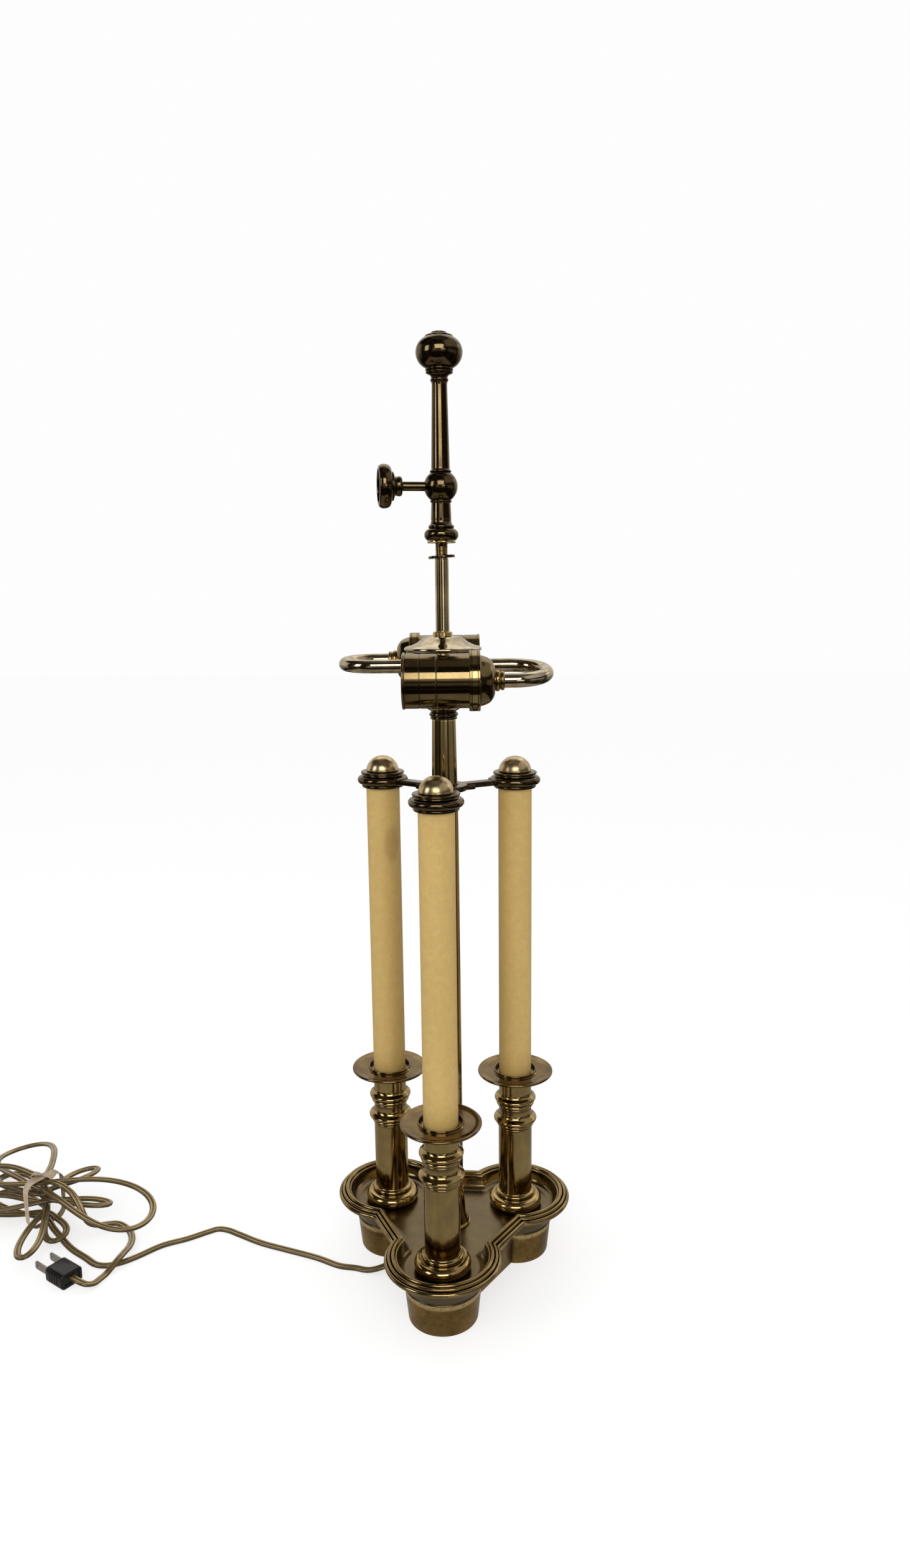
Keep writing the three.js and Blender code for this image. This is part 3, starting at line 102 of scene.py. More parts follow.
class Finish:
    """A material with one shader. One method makes every node, and links or sets its sockets."""

    def __init__(self, name, **values):
        self.material = bpy.data.materials.new(name)
        self.material.use_nodes = True
        self.tree = self.material.node_tree
        self.shader = self.tree.nodes["Principled BSDF"]
        self.shade(**values)

    def feed(self, socket, value):
        if isinstance(value, Socket):
            self.tree.links.new(value.socket, socket)
        else:
            socket.default_value = value

    def shade(self, **values):
        for name, value in values.items():
            self.feed(self.shader.inputs[name.replace("_", " ")], value)

    def node(self, kind, inputs, output=0, **settings):
        node = self.tree.nodes.new("ShaderNode" + kind)
        for name, value in settings.items():
            setattr(node, name, value)
        for name, value in inputs.items():
            self.feed(node.inputs[name], value)
        return Socket(self, node.outputs[output])

    def coordinates(self, stretch=(1, 1, 1), output="Object"):
        place = self.node("TexCoord", {}, output)
        return self.node("Mapping", {"Vector": place, "Scale": stretch})

    def axes(self, place):
        """The three numbers of a place or a way."""
        split = self.node("SeparateXYZ", {"Vector": place}).socket.node
        return [Socket(self, output) for output in split.outputs]

    def noise(self, place, scale, detail=4.0, roughness=0.55):
        inputs = {"Vector": place, "Scale": scale, "Detail": detail, "Roughness": roughness}
        return self.node("TexNoise", inputs)

    def between(self, value, low, high):
        """0 below low and 1 above high, with a smooth rise."""
        inputs = {"Value": value, "From Min": low, "From Max": high}
        return self.node("MapRange", inputs, interpolation_type="SMOOTHSTEP")

    def mix(self, share, first, second):
        """A colour between two."""
        inputs = {0: share, 6: first, 7: second}
        return self.node("Mix", inputs, output=2, data_type="RGBA")

    def bump(self, height, depth, strength=1.0):
        return self.node("Bump", {"Height": height, "Distance": depth, "Strength": strength})


def tint(red, green, blue):
    return (red, green, blue, 1.0)


cord_width = 5.5
cord_thickness = 2.8
cord_spacing = 2.5            # between the rings of the cord's mesh
run_route = [
    (-38, -9.8, 7.5), (-42, -12.1, 7.5), (-46.5, -14.6, 7.1), (-54.5, -17, 4.9), (-63, -16.4, 2.5),
    (-73.3, -13.2, 1.5), (-85.3, -11.8, 1.5), (-105.4, -3.3, 1.5), (-132, 5, 1.5),
    (-154.9, 12.2, 1.5), (-176.4, 22.2, 1.5), (-186.7, 26.9, 1.5), (-195.5, 28, 1.5),
    (-202.5, 23.7, 1.5), (-216.3, 13.5, 1.5), (-233.8, 3.2, 1.5), (-248.8, -12.3, 1.5),
    (-258, -20.2, 1.5), (-268, -24.8, 1.5), (-277, -24.2, 1.5), (-288.7, -16.9, 1.5),
    (-304, -7.4, 1.5), (-314, 0.8, 1.6), (-318.1, 4.8, 1.6),
]
tail_route = [
    (-323, 19.9, 40.1), (-314, 17.4, 35.6), (-307, 14.3, 28), (-302, 11.4, 20), (-298, 10.8, 13.4),
    (-293.6, 14.4, 9), (-288.9, 21.3, 6), (-280.1, 26.5, 3.4), (-268.9, 20.6, 1.9),
    (-261.6, 9.2, 2.2), (-258.6, -4, 3.9), (-258, -12, 5.9), (-258.7, -20.5, 6.6),
    (-260.9, -28, 4.9), (-264.2, -34.4, 1.9), (-266.4, -41.5, 2), (-268.2, -48.5, 3.2),
    (-272.2, -53, 5.8), (-277.8, -52.2, 7.2), (-282.2, -49.65, 7.25), (-286.5, -47.15, 7.25),
]
hank_place = Vector((-343, 28, 0))
hank_pitch = 3.4              # height from one pass through the tie to the next
hank_base = 3.1
hank_sag = 0.45               # how much of its height a loop loses at hank_spread
hank_spread = 105
hank_level_reach = 30         # the passes stay level this far out from the tie
hank_foot = 1.7
hank_start = (-43, 28)        # angle and length of the stretch before the first loop
hank_end = (-22, 15)
hank_loops = [                # angle, reach, half width, sense
    (140, 90, 21, 1), (-50, 42, 8, -1), (168, 58, 14, 1), (-78, 66, 8, -1), (185, 74, 16, -1),
    (-1, 56, 7, 1), (150, 58, 12, -1), (55, 48, 9, 1), (129, 102, 23, 1), (-13, 100, 25, -1),
    (172, 68, 12, 1),
]
loop_steps = 14
loop_trim_share = 0.1
climb_start_share = 0.3


def hank_point(degrees, along, across, level):
    out = Matrix.Rotation(math.radians(degrees), 3, "Z") @ Vector((along, across, 0))
    far = max(0, out.length - hank_level_reach) / (hank_spread - hank_level_reach)
    drop = 1 - hank_sag * min(1, far) ** 2
    height = hank_foot + (hank_base - hank_foot + level * hank_pitch) * drop
    return hank_place + out + Vector((0, 0, height))


def hank_route():
    angle, length = hank_start
    route = [hank_point(angle, length, 0, 0), hank_point(angle, length / 2, 0, 0)]
    for i, point in enumerate(route):
        point.z = cord_thickness / 2 + 0.3 * (i + 1)
    for level, (angle, reach, half_width, sense) in enumerate(hank_loops):
        route.append(hank_point(angle, 0, 0, level))
        for i in range(loop_steps + 1):
            share = loop_trim_share + (1 - 2 * loop_trim_share) * i / loop_steps
            climb = (share - climb_start_share) / (1 - 2 * climb_start_share)
            climb = min(1, max(0, climb))
            climb = climb * climb * (3 - 2 * climb)
            along = reach * math.sin(math.pi * share)
            across = sense * half_width * math.sin(2 * math.pi * share)
            route.append(hank_point(angle, along, across, level + climb))
    angle, length = hank_end
    route += [hank_point(angle, length * share, 0, len(hank_loops)) for share in (0, 0.5, 1)]
    return route


def centripetal(p0, p1, p2, p3, share):
    """The point that far along a centripetal curve from p1 to p2."""
    t1 = math.sqrt((p1 - p0).length)
    t2 = t1 + math.sqrt((p2 - p1).length)
    t3 = t2 + math.sqrt((p3 - p2).length)
    t = t1 + (t2 - t1) * share
    a1 = p0.lerp(p1, t / t1)
    a2 = p1.lerp(p2, share)
    a3 = p2.lerp(p3, (t - t2) / (t3 - t2))
    b1 = a1.lerp(a2, t / t2)
    b2 = a2.lerp(a3, (t - t1) / (t3 - t1))
    return b1.lerp(b2, share)


def smooth_route(route, spacing):
    """Points on a smooth curve through a route in millimetres, about that spacing apart."""
    route = [Vector(point) for point in route]
    ends = [2 * route[0] - route[1], *route, 2 * route[-1] - route[-2]]
    points = []
    for four in zip(ends, ends[1:], ends[2:], ends[3:]):
        count = max(1, round((four[2] - four[1]).length / spacing))
        points += [centripetal(*four, i / count) * mm for i in range(count)]
    points.append(route[-1] * mm)
    return points


def cord_section(width, thickness, sides=10):
    """Two round conductors side by side, with a groove between: (across, up) in metres."""
    radius = thickness / 2
    offset = width / 2 - radius
    groove = math.radians(30)
    side = []
    for i in range(sides + 1):
        angle = (math.pi - groove) * (2 * i / sides - 1)
        side.append((offset + radius * math.cos(angle), radius * math.sin(angle)))
    other = [(-across, -up) for across, up in side]
    return [(across * mm, up * mm) for across, up in side + other]


def new_piece(name, points, faces):
    """A piece from the points, in metres, and the faces of its mesh."""
    mesh = bpy.data.meshes.new(name)
    mesh.from_pydata(points, [], faces)
    piece = bpy.data.objects.new(name, mesh)
    bpy.context.scene.collection.objects.link(piece)
    return piece


def flat_cord(name, path, section, level=True):
    """A flat cord whose width stays level, or else turns no more than its way does.
    Its UV map runs round the section, and along the cord in millimetres."""
    points = []
    across = Vector((0, 1, 0))
    for i, point in enumerate(path):
        way = (path[min(i + 1, len(path) - 1)] - path[max(i - 1, 0)]).normalized()
        across = Vector((-way.y, way.x, 0)) if level else across - way * across.dot(way)
        across = across.normalized()
        up = way.cross(across)
        points += [point + across * side + up * rise for side, rise in section]
    count = len(section)
    faces = [list(range(count))[::-1], list(range(len(points) - count, len(points)))]
    places = [[(0, 0)] * count, [(0, 0)] * count]
    for i in range(len(path) - 1):
        for k in range(count):
            a, b = i * count + k, i * count + (k + 1) % count
            faces.append([a, b, b + count, a + count])
            low, high = i * cord_spacing, (i + 1) * cord_spacing
            left, right = k / count, (k + 1) / count
            places.append([(left, low), (right, low), (right, high), (left, high)])
    piece = new_piece(name, points, faces)
    layer = piece.data.uv_layers.new(name="along")
    for face, corners in zip(piece.data.polygons, places):
        for loop, corner in zip(face.loop_indices, corners):
            layer.data[loop].uv = corner
    piece.data.shade_smooth()
    return piece


def settle(piece, finish, slot, body, *nodes):
    """Finishes a piece: its material, the body it rides on and the nodes it replaces. The slot is not
    used.
    """
    piece.data.materials.clear()
    piece.data.materials.append(finish.material)
    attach(piece, body)
    if nodes:
        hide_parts(*nodes)


cord_finish = Finish("clear_gold_cord", Roughness=0.32, Coat_Weight=0.8, Coat_Roughness=0.15)
strand_count = 12             # round both conductors
strand_lay = 2.6              # along the cord, from one strand to the next
groove_share = 0.955          # where the groove lies, of the way round one conductor
crest_share = 0.55            # where the painted highlight is brightest, of the way to the groove
round_share, length = cord_finish.axes(cord_finish.coordinates(output="UV"))[:2]
strands = ((round_share * strand_count + length / strand_lay) * math.tau).maths("SINE") * 0.5 + 0.5
from_groove = ((round_share * 2 - groove_share).maths("FRACT") - 0.5).maths("ABSOLUTE") * 2
# Painted highlight and shade: a band along the crest of each conductor is coloured brighter, and its
# sides and the groove are coloured darker.
crest_highlight = 1 - cord_finish.between((from_groove - crest_share).maths("ABSOLUTE"), 0.1, 0.42)
patches = cord_finish.noise(cord_finish.coordinates(), 60)
strands_and_highlight = strands * 0.6 + crest_highlight * 0.4
copper = cord_finish.mix(strands_and_highlight, tint(0.10, 0.066, 0.024), tint(0.62, 0.45, 0.19))
aged = cord_finish.between(patches, 0.35, 0.7)
clear = cord_finish.mix((1 - crest_highlight) * 0.85, copper, tint(0.035, 0.024, 0.011))
cord_finish.shade(
    Base_Color=cord_finish.mix(aged * 0.35, clear, tint(0.10, 0.07, 0.03)),
    Metallic=0.35 + 0.5 * crest_highlight,
    Normal=cord_finish.bump(strands, 0.0001, 0.3),
)

cord_route = smooth_route([*run_route, *hank_route(), *tail_route], cord_spacing)
cord_length = sum((b - a).length for a, b in zip(cord_route, cord_route[1:]))
cord = flat_cord("flat_cord", cord_route, cord_section(cord_width, cord_thickness))
settle(cord, cord_finish, "cord", "lamp", "cord_run", "cord_hank", "cord_tail")

inner_route = [
    (-37.7, -9.65, 7.5), (-32, -6.3, 7.5), (-20, -1.5, 7.5), (-8, -0.5, 8.2), (-2, 0, 12),
    (0, 0, 18), (0, 0, 30), (0, 0, 120), (0, 0, 230), (0, 0, 340), (0, 0, 430), (0, 0, 453),
    (0, -1.4, 457), (0, -4.4, 459), (0, -8, 459.2),
]
inner_path = smooth_route(inner_route, cord_spacing)
inner_section = cord_section(cord_width, cord_thickness)
inner_cord = flat_cord("cord_in_stem", inner_path, inner_section, level=False)
settle(inner_cord, cord_finish, "cord", "lamp", "inner_cord")


# Tie. A strip of tan paper goes once round all the passes of the hank, and its two ends are
# pinched into a knot on the top.
tie_low, tie_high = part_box("hank_tie")
tie_yaw = math.radians(55)
tie_reach = 16.2
tie_corner = 9
tie_paper = 0.35              # the paper's thickness
tie_width, tie_flare = 6.6, 2.6            # along the passes, and how much wider it gets at the top
tie_corner_steps, flap_steps = 6, 6
flap_lift, flap_curl, pinch_width = 2.6, 2.6, 1.6
tie_flaps = ((-8, 12, 10), (196, 9, 10))   # angle, reach and width
tie_finish = Finish("tan_paper", Roughness=0.85)
grain = tie_finish.noise(tie_finish.coordinates((1, 1, 0.3)), 700)
creases = tie_finish.noise(tie_finish.coordinates(), 160, 6.0)
tie_finish.shade(
    Base_Color=tie_finish.mix(creases, tint(0.26, 0.185, 0.12), tint(0.58, 0.46, 0.33)),
    Normal=tie_finish.bump(creases * 0.8 + grain * 0.2, 0.0006, 0.7),
)


def strip(name, middles, ways, widths, closed=False):
    """A crumpled strip of paper: its middle line, and its width along a way at each point."""
    columns = 6
    points = []
    for i, (middle, way, width) in enumerate(zip(middles, ways, widths)):
        for k in range(columns + 1):
            share = 2 * k / columns - 1
            crumple = 0.35 * math.sin(1.9 * i + 2.3 * k) + 0.25 * math.sin(0.7 * i - 1.7 * k)
            points.append((middle + way * (width / 2 * share) + Vector((0, 0, crumple))) * mm)
    rows = len(middles)
    faces = []
    for i in range(rows if closed else rows - 1):
        for k in range(columns):
            a, b = i * (columns + 1) + k, (i + 1) % rows * (columns + 1) + k
            faces.append([a, a + 1, b + 1, b])
    piece = new_piece(name, points, faces)
    piece.data.shade_smooth()
    return piece


def hold(piece):
    """Selects one piece alone and makes it the active one."""
    bpy.ops.object.select_all(action="DESELECT")
    piece.select_set(True)
    bpy.context.view_layer.objects.active = piece


def finish_with(piece, kind, **settings):
    """Adds a modifier to a piece and applies it."""
    hold(piece)
    modifier = piece.modifiers.new(kind.lower(), kind)
    for name, value in settings.items():
        setattr(modifier, name, value)
    bpy.ops.object.modifier_apply(modifier=modifier.name)


tie_out = Vector((math.cos(tie_yaw), math.sin(tie_yaw), 0))
tie_way = Vector((math.sin(tie_yaw), -math.cos(tie_yaw), 0))
tie_foot, tie_top = tie_low.z / mm + 0.3, tie_high.z / mm - 0.3
tie_middles = []
tie_widths = []
tie_middle = (tie_top + tie_foot) / 2
tie_rise = (tie_top - tie_foot) / 2 - tie_corner
for side, up, first in ((1, -1, -90), (1, 1, 0), (-1, 1, 90), (-1, -1, 180)):
    for i in range(tie_corner_steps + 1):
        angle = math.radians(first + 90 * i / tie_corner_steps)
        out = side * (tie_reach - tie_corner) + tie_corner * math.cos(angle)
        height = tie_middle + up * tie_rise + tie_corner * math.sin(angle)
        tie_middles.append(hank_place + tie_out * out + Vector((0, 0, height)))
        tie_widths.append(tie_width + tie_flare * ((height - tie_foot) / (tie_top - tie_foot)) ** 3)
band = strip("paper_tie", tie_middles, [tie_way] * len(tie_middles), tie_widths, closed=True)
knot = hank_place + Vector((0, 0, tie_top + 0.6))
flaps = []
for degrees, reach, width in tie_flaps:
    way = Vector((math.cos(math.radians(degrees)), math.sin(math.radians(degrees)), 0))
    shares = [i / flap_steps for i in range(flap_steps + 1)]
    lift = [Vector((0, 0, flap_lift * math.sin(flap_curl * share))) for share in shares]
    middles = [knot + way * (reach * share) + rise for share, rise in zip(shares, lift)]
    widths = [pinch_width + (width - pinch_width) * math.sqrt(share) for share in shares]
    sides = [Vector((-way.y, way.x, 0.25))] * len(shares)
    flaps.append(strip("tie_end", middles, sides, widths))
for piece in (band, *flaps):
    finish_with(piece, "SOLIDIFY", thickness=tie_paper * mm, offset=0)
    finish_with(piece, "SUBSURF", levels=1, render_levels=1)
hold(band)
for flap in flaps:
    flap.select_set(True)
bpy.ops.object.join()
settle(band, tie_finish, "paper", "lamp", "hank_tie")


# Plug. A small block of black plastic with rounded edges and a sunk panel round the cord, closed
# over two nickel-plated steel blades with a hole near their tips.
def moved(x, y, z):
    """A move in millimetres."""
    return Matrix.Translation((x * mm, y * mm, z * mm))


def spun(degrees, axis="Z"):
    return Matrix.Rotation(math.radians(degrees), 4, axis)


plug_place = moved(-285, -48, 7.25) @ spun(150)
plug_length, plug_width, plug_foot, plug_top = 21, 18.4, -7.25, 4.95
grip_count, grip_start, grip_pitch, grip_half_width = 4, 6, 3, 0.5
grip_side, grip_depth, grip_foot, grip_top = 9.4, 0.7, -5, 3
blade_reach, blade_width, blade_thickness, blade_spacing = 15.9, 6.3, 1.5, 12.7
blade_seat = 4                # how far the blades reach into the plug
blade_hole_radius, blade_hole_inset = 1.6, 3.6
long_round, end_round = 3.2, 1.1           # of the plug's edges
cord_panel_rim, cord_panel_depth = 1.6, 0.9
blade_panel_rim, blade_panel_depth = 1.2, 0.5


def block(name, low, high):
    """A box between two corners in millimetres."""
    low, high = Vector(low), Vector(high)
    bpy.ops.object.select_all(action="DESELECT")
    bpy.ops.mesh.primitive_cube_add(size=1, location=(low + high) / 2 * mm, scale=(high - low) * mm)
    bpy.ops.object.transform_apply(location=True, rotation=True, scale=True)
    bpy.context.object.name = name
    return bpy.context.object


def pick(piece, kind, test):
    """In edit mode, selects only the edges or faces whose middle passes the test.
    The test gets the middle in millimetres and, for a face, its normal or, for an edge, its way."""
    bpy.ops.mesh.select_all(action="DESELECT")
    bpy.ops.mesh.select_mode(type=kind)
    mesh = bmesh.from_edit_mesh(piece.data)
    for item in mesh.edges if kind == "EDGE" else mesh.faces:
        if kind == "EDGE":
            ends = [corner.co for corner in item.verts]
            middle, way = (ends[0] + ends[1]) / 2, (ends[1] - ends[0]).normalized()
        else:
            middle, way = item.calc_center_median(), item.normal
        item.select_set(bool(test(middle / mm, way)))
    mesh.select_flush_mode()
    bmesh.update_edit_mesh(piece.data)


def edit(piece):
    """Goes into edit mode on one piece."""
    hold(piece)
    bpy.ops.object.mode_set(mode="EDIT")
    bpy.ops.mesh.select_mode(type="VERT")


def close_edit(piece, smooth=35):
    """Leaves edit mode, with doubles merged, faces turned outwards and edges softened."""
    bpy.ops.mesh.select_all(action="SELECT")
    bpy.ops.mesh.remove_doubles(threshold=0.002 * mm)
    bpy.ops.mesh.normals_make_consistent(inside=False)
    bpy.ops.object.mode_set(mode="OBJECT")
    bpy.ops.object.shade_smooth_by_angle(angle=math.radians(smooth))


def shift(piece, matrix):
    """Moves a piece's mesh."""
    piece.data.transform(matrix)
    piece.data.update()


def extrude(x=0, y=0, z=0):
    """Extrudes what is selected, in millimetres."""
    bpy.ops.mesh.extrude_region_move(TRANSFORM_OT_translate={"value": (x * mm, y * mm, z * mm)})


def grained(name, scale, detail, dark, light, depth, strength, roughness=0.5, **values):
    """A plain finish, in which one grain mixes two colours and makes the bumps."""
    finish = Finish(name, Roughness=roughness, **values)
    finish.grain = finish.noise(finish.coordinates(), scale, detail)
    finish.shade(
        Base_Color=finish.mix(finish.grain, tint(*dark), tint(*light)),
        Normal=finish.bump(finish.grain, depth, strength),
    )
    return finish


plug = block("plug_block", (0, -plug_width / 2, plug_foot), (plug_length, plug_width / 2, plug_top))
edit(plug)
pick(plug, "EDGE", lambda middle, way: abs(way.x) > 0.9)
bpy.ops.mesh.bevel(offset=long_round * mm, segments=5)
pick(plug, "EDGE", lambda middle, way: abs(way.x) < 0.1)
bpy.ops.mesh.bevel(offset=end_round * mm, segments=4)
pick(plug, "FACE", lambda middle, way: middle.x < 0.01)
bpy.ops.mesh.inset(thickness=cord_panel_rim * mm)
bpy.ops.mesh.inset(thickness=0.4 * mm, depth=-cord_panel_depth * mm)
pick(plug, "FACE", lambda middle, way: middle.x > plug_length - 0.01)
bpy.ops.mesh.inset(thickness=blade_panel_rim * mm)
bpy.ops.mesh.inset(thickness=0.3 * mm, depth=-blade_panel_depth * mm)
close_edit(plug)
for i in range(grip_count):
    for side in (-1, 1):
        x, y = grip_start + grip_pitch * i, grip_side * side
        groove = block(
            "groove", (x - grip_half_width, y - grip_depth, grip_foot),
            (x + grip_half_width, y + grip_depth, grip_top),
        )
        finish_with(plug, "BOOLEAN", operation="DIFFERENCE", object=groove, solver="EXACT")
        bpy.data.objects.remove(groove)
shift(plug, plug_place)
plug_finish = grained(
    "black_plug", 420, 6.0, (0.003, 0.003, 0.0035), (0.014, 0.013, 0.013), 0.00012, 0.5,
    Specular_IOR_Level=0.4,
)
plug_finish.shade(Roughness=0.12 + 0.25 * plug_finish.grain)
settle(plug, plug_finish, "plug", "lamp", "plug_body")

steel_finish = Finish("bright_steel", Metallic=1.0, Roughness=0.3)
drawn = steel_finish.noise(steel_finish.coordinates((1, 1, 0.08)), 1500)
stains = steel_finish.noise(steel_finish.coordinates(), 90)
steel_finish.shade(
    Base_Color=steel_finish.mix(stains, tint(0.36, 0.34, 0.31), tint(0.68, 0.67, 0.64)),
    Roughness=0.2 + 0.3 * drawn,
    Normal=steel_finish.bump(drawn, 0.00005, 0.4),
)
for name, side in (("plug_blade_left", -1), ("plug_blade_right", 1)):
    middle = side * blade_spacing / 2
    end = plug_length + blade_reach
    half = blade_thickness / 2
    blade = block(
        name + "_metal", (plug_length - blade_seat, middle - half, -blade_width / 2),
        (end, middle + half, blade_width / 2),
    )
    edit(blade)
    pick(blade, "EDGE", lambda middle, way: abs(way.y) > 0.9 and middle.x > plug_length)
    bpy.ops.mesh.bevel(offset=1.6 * mm, segments=3)
    pick(blade, "EDGE", lambda middle, way: abs(way.y) < 0.1)
    bpy.ops.mesh.bevel(offset=0.25 * mm, segments=2)
    close_edit(blade)
    bpy.ops.mesh.primitive_cylinder_add(
        vertices=24, radius=blade_hole_radius * mm, depth=4 * mm,
        location=((end - blade_hole_inset) * mm, middle * mm, 0), rotation=(math.pi / 2, 0, 0),
    )
    hole = bpy.context.object
    finish_with(blade, "BOOLEAN", operation="DIFFERENCE", object=hole, solver="EXACT")
    bpy.data.objects.remove(hole)
    shift(blade, plug_place)
    settle(blade, steel_finish, "steel", "lamp", name)


# Foot. A green-black felt pad lies under a steel plate, which closes the brass skirt. The skirt and
# the tray above it are cast, and both follow a trefoil of three round lobes and straight sides.
lobe_reach = 57               # from the axis to the middle of each lobe
lobe_turns = {"front": -90, "right": 30, "left": 150}
side_inset = 14.8             # how far the straight sides lie inside a line across two lobes
lobe_steps, side_steps = 44, 8


def trefoil(radius):
    """The outline of the trefoil whose lobes have that radius, in millimetres."""
    half = 60 + math.degrees(math.acos((radius - side_inset) / radius))
    points = []
    for turn in lobe_turns.values():
        middle = Matrix.Rotation(math.radians(turn), 2) @ Vector((lobe_reach, 0))
        for i in range(lobe_steps + 1):
            angle = math.radians(turn - half + 2 * half * i / lobe_steps)
            points.append(middle + radius * Vector((math.cos(angle), math.sin(angle))))
    corners = []
    for i in range(3):
        arc = points[i * (lobe_steps + 1):(i + 1) * (lobe_steps + 1)]
        following = points[(i + 1) % 3 * (lobe_steps + 1)]
        corners += arc + [arc[-1].lerp(following, k / side_steps) for k in range(1, side_steps)]
    return corners


def curve_points(stops):
    """Points on a profile whose stops are (radius, height, bulge) in millimetres. The bulge is that
    of the stretch up to the stop: none is straight, 1 a half round outwards and -1 one inwards.
    A long straight stretch gets a point near each end, which keeps the wear and the painted corner shade
    to its corners."""
    points = [Vector(stops[0][:2])]
    for radius, height, *bulge in stops[1:]:
        start, end = points[-1].copy(), Vector((radius, height))
        if bulge:
            along = end - start
            swell = abs(bulge[0]) * along.length / 2
            angle = 4 * math.atan(abs(bulge[0]))
            arc = along.length / 2 / math.sin(angle / 2)
            along.normalize()
            out = Vector((along.y, -along.x)) * math.copysign(1, bulge[0])
            middle = (start + end) / 2 + out * (swell - arc)
            count = max(2, round(math.degrees(angle) / 11))
            for i in range(1, count):
                turn = angle * (i / count - 0.5)
                points.append(middle + arc * (out * math.cos(turn) + along * math.sin(turn)))
        elif (end - start).length > 5:
            points += [start + (end - start).normalized(), end - (end - start).normalized()]
        points.append(end)
    return points


def moulded(name, stops, ring=False):
    """A trefoil piece from its profile, closed by flat faces at its ends, or by itself as a ring."""
    profile = curve_points(stops)
    outlines = [trefoil(point.x) for point in profile]
    count = len(outlines[0])
    points = [(*place, point.y) for point, outline in zip(profile, outlines) for place in outline]
    faces = []
    for i in range(len(profile) if ring else len(profile) - 1):
        for k in range(count):
            a, b = i * count, (i + 1) % len(profile) * count
            faces.append([a + k, a + (k + 1) % count, b + (k + 1) % count, b + k])
    if not ring:
        faces += [list(range(count))[::-1], list(range(len(points) - count, len(points)))]
    piece = new_piece(name, [Vector(point) * mm for point in points], faces)
    edit(piece)
    close_edit(piece)
    return piece


felt_finish = grained(
    "dark_felt", 2600, 6.0, (0.012, 0.022, 0.016), (0.06, 0.085, 0.065), 0.0004, 0.9, 0.95,
)
felt = moulded("felt_sole", [(22.4, 0), (22.9, 0.5, 0.3), (22.9, 1.4)])
settle(felt, felt_finish, "felt", "lamp", "felt_pad")
plate = moulded("foot_plate", [(22.9, 1.6), (22.9, 2.6)])
settle(plate, steel_finish, "steel", "lamp", "bottom_plate")


def brass(
    name, dark, middle, bright, roughness, streaks=0.0, patch_size=45, corner_shade=0.5, wear=0.8,
    brushed=(1, 1, 0.04),
):
    """Aged brass: patches of patina, rubbed bright edges, painted shade in the concave corners and brush
    lines one way.
    """
    finish = Finish(name, Metallic=1.0)
    place = finish.coordinates()
    clouds = finish.noise(place, patch_size, 6.0, 0.6)
    fine = finish.noise(place, patch_size * 14, 5.0, 0.65)
    lines = finish.noise(finish.coordinates(brushed), 900, 3.0)
    patina = finish.between(clouds * 0.8 + fine * 0.2, 0.3, 0.7)
    curve = finish.node("NewGeometry", {}, "Pointiness")
    worn = finish.between(curve, 0.515, 0.56)
    corners = 1 - finish.between(curve, 0.44, 0.498)
    colour = finish.mix(patina, tint(*middle), tint(*dark))
    colour = finish.mix((worn * wear + lines * streaks * patina).clamped(), colour, tint(*bright))
    # Painted shade: the concave corners are darkened towards near black.
    finish.colour = finish.mix(corners * corner_shade, colour, tint(*(share * 0.15 for share in dark)))
    low, high = roughness
    finish.shade(
        Base_Color=finish.colour,
        Roughness=low + (high - low) * (patina * 0.6 + fine * 0.25 + lines * 0.3) + 0.2 * corners,
        Normal=finish.bump(fine * 0.5 + lines * 0.5, 0.00004, 0.2),
    )
    return finish


skirt_finish = brass(
    "golden_cast_brass", (0.20, 0.122, 0.042), (0.42, 0.275, 0.10), (0.88, 0.68, 0.33), (0.12, 0.3),
    corner_shade=0.9,
)
pits = skirt_finish.between(skirt_finish.noise(skirt_finish.coordinates(), 1300, 2.0), 0.56, 0.68)
spots = skirt_finish.between(skirt_finish.noise(skirt_finish.coordinates(), 260, 5.0, 0.7), 0.52, 0.66)
flaws = (pits * 0.6 + spots * 0.35).clamped()
skirt_finish.shade(Base_Color=skirt_finish.mix(flaws, skirt_finish.colour, tint(0.075, 0.045, 0.018)))
tray_finish = brass(
    "dusty_cast_brass", (0.20, 0.14, 0.06), (0.40, 0.29, 0.13), (0.90, 0.72, 0.38), (0.06, 0.2),
    corner_shade=1.0,
)
dust_full, dust_gone = 0.0378, 0.0405      # the heights between which the dust on the floor ends
dust = 1 - tray_finish.between(tray_finish.axes(tray_finish.coordinates())[2], dust_full, dust_gone)
dust_clouds = tray_finish.noise(tray_finish.coordinates(), 110, 6.0, 0.65)
dust_tone = tray_finish.mix(dust_clouds, tint(0.09, 0.066, 0.038), tint(0.20, 0.155, 0.095))
tray_finish.shade(
    Base_Color=tray_finish.mix(dust * 0.85, tray_finish.colour, dust_tone),
    Roughness=0.1 + 0.12 * dust_clouds + 0.08 * dust,
)
skirt = moulded("foot_skirt", [
    (25.0, 0.3), (25.4, 0.7, 0.3), (27.6, 21.9), (28.0, 25.65), (25.8, 25.65), (23.2, 0.3),
], ring=True)
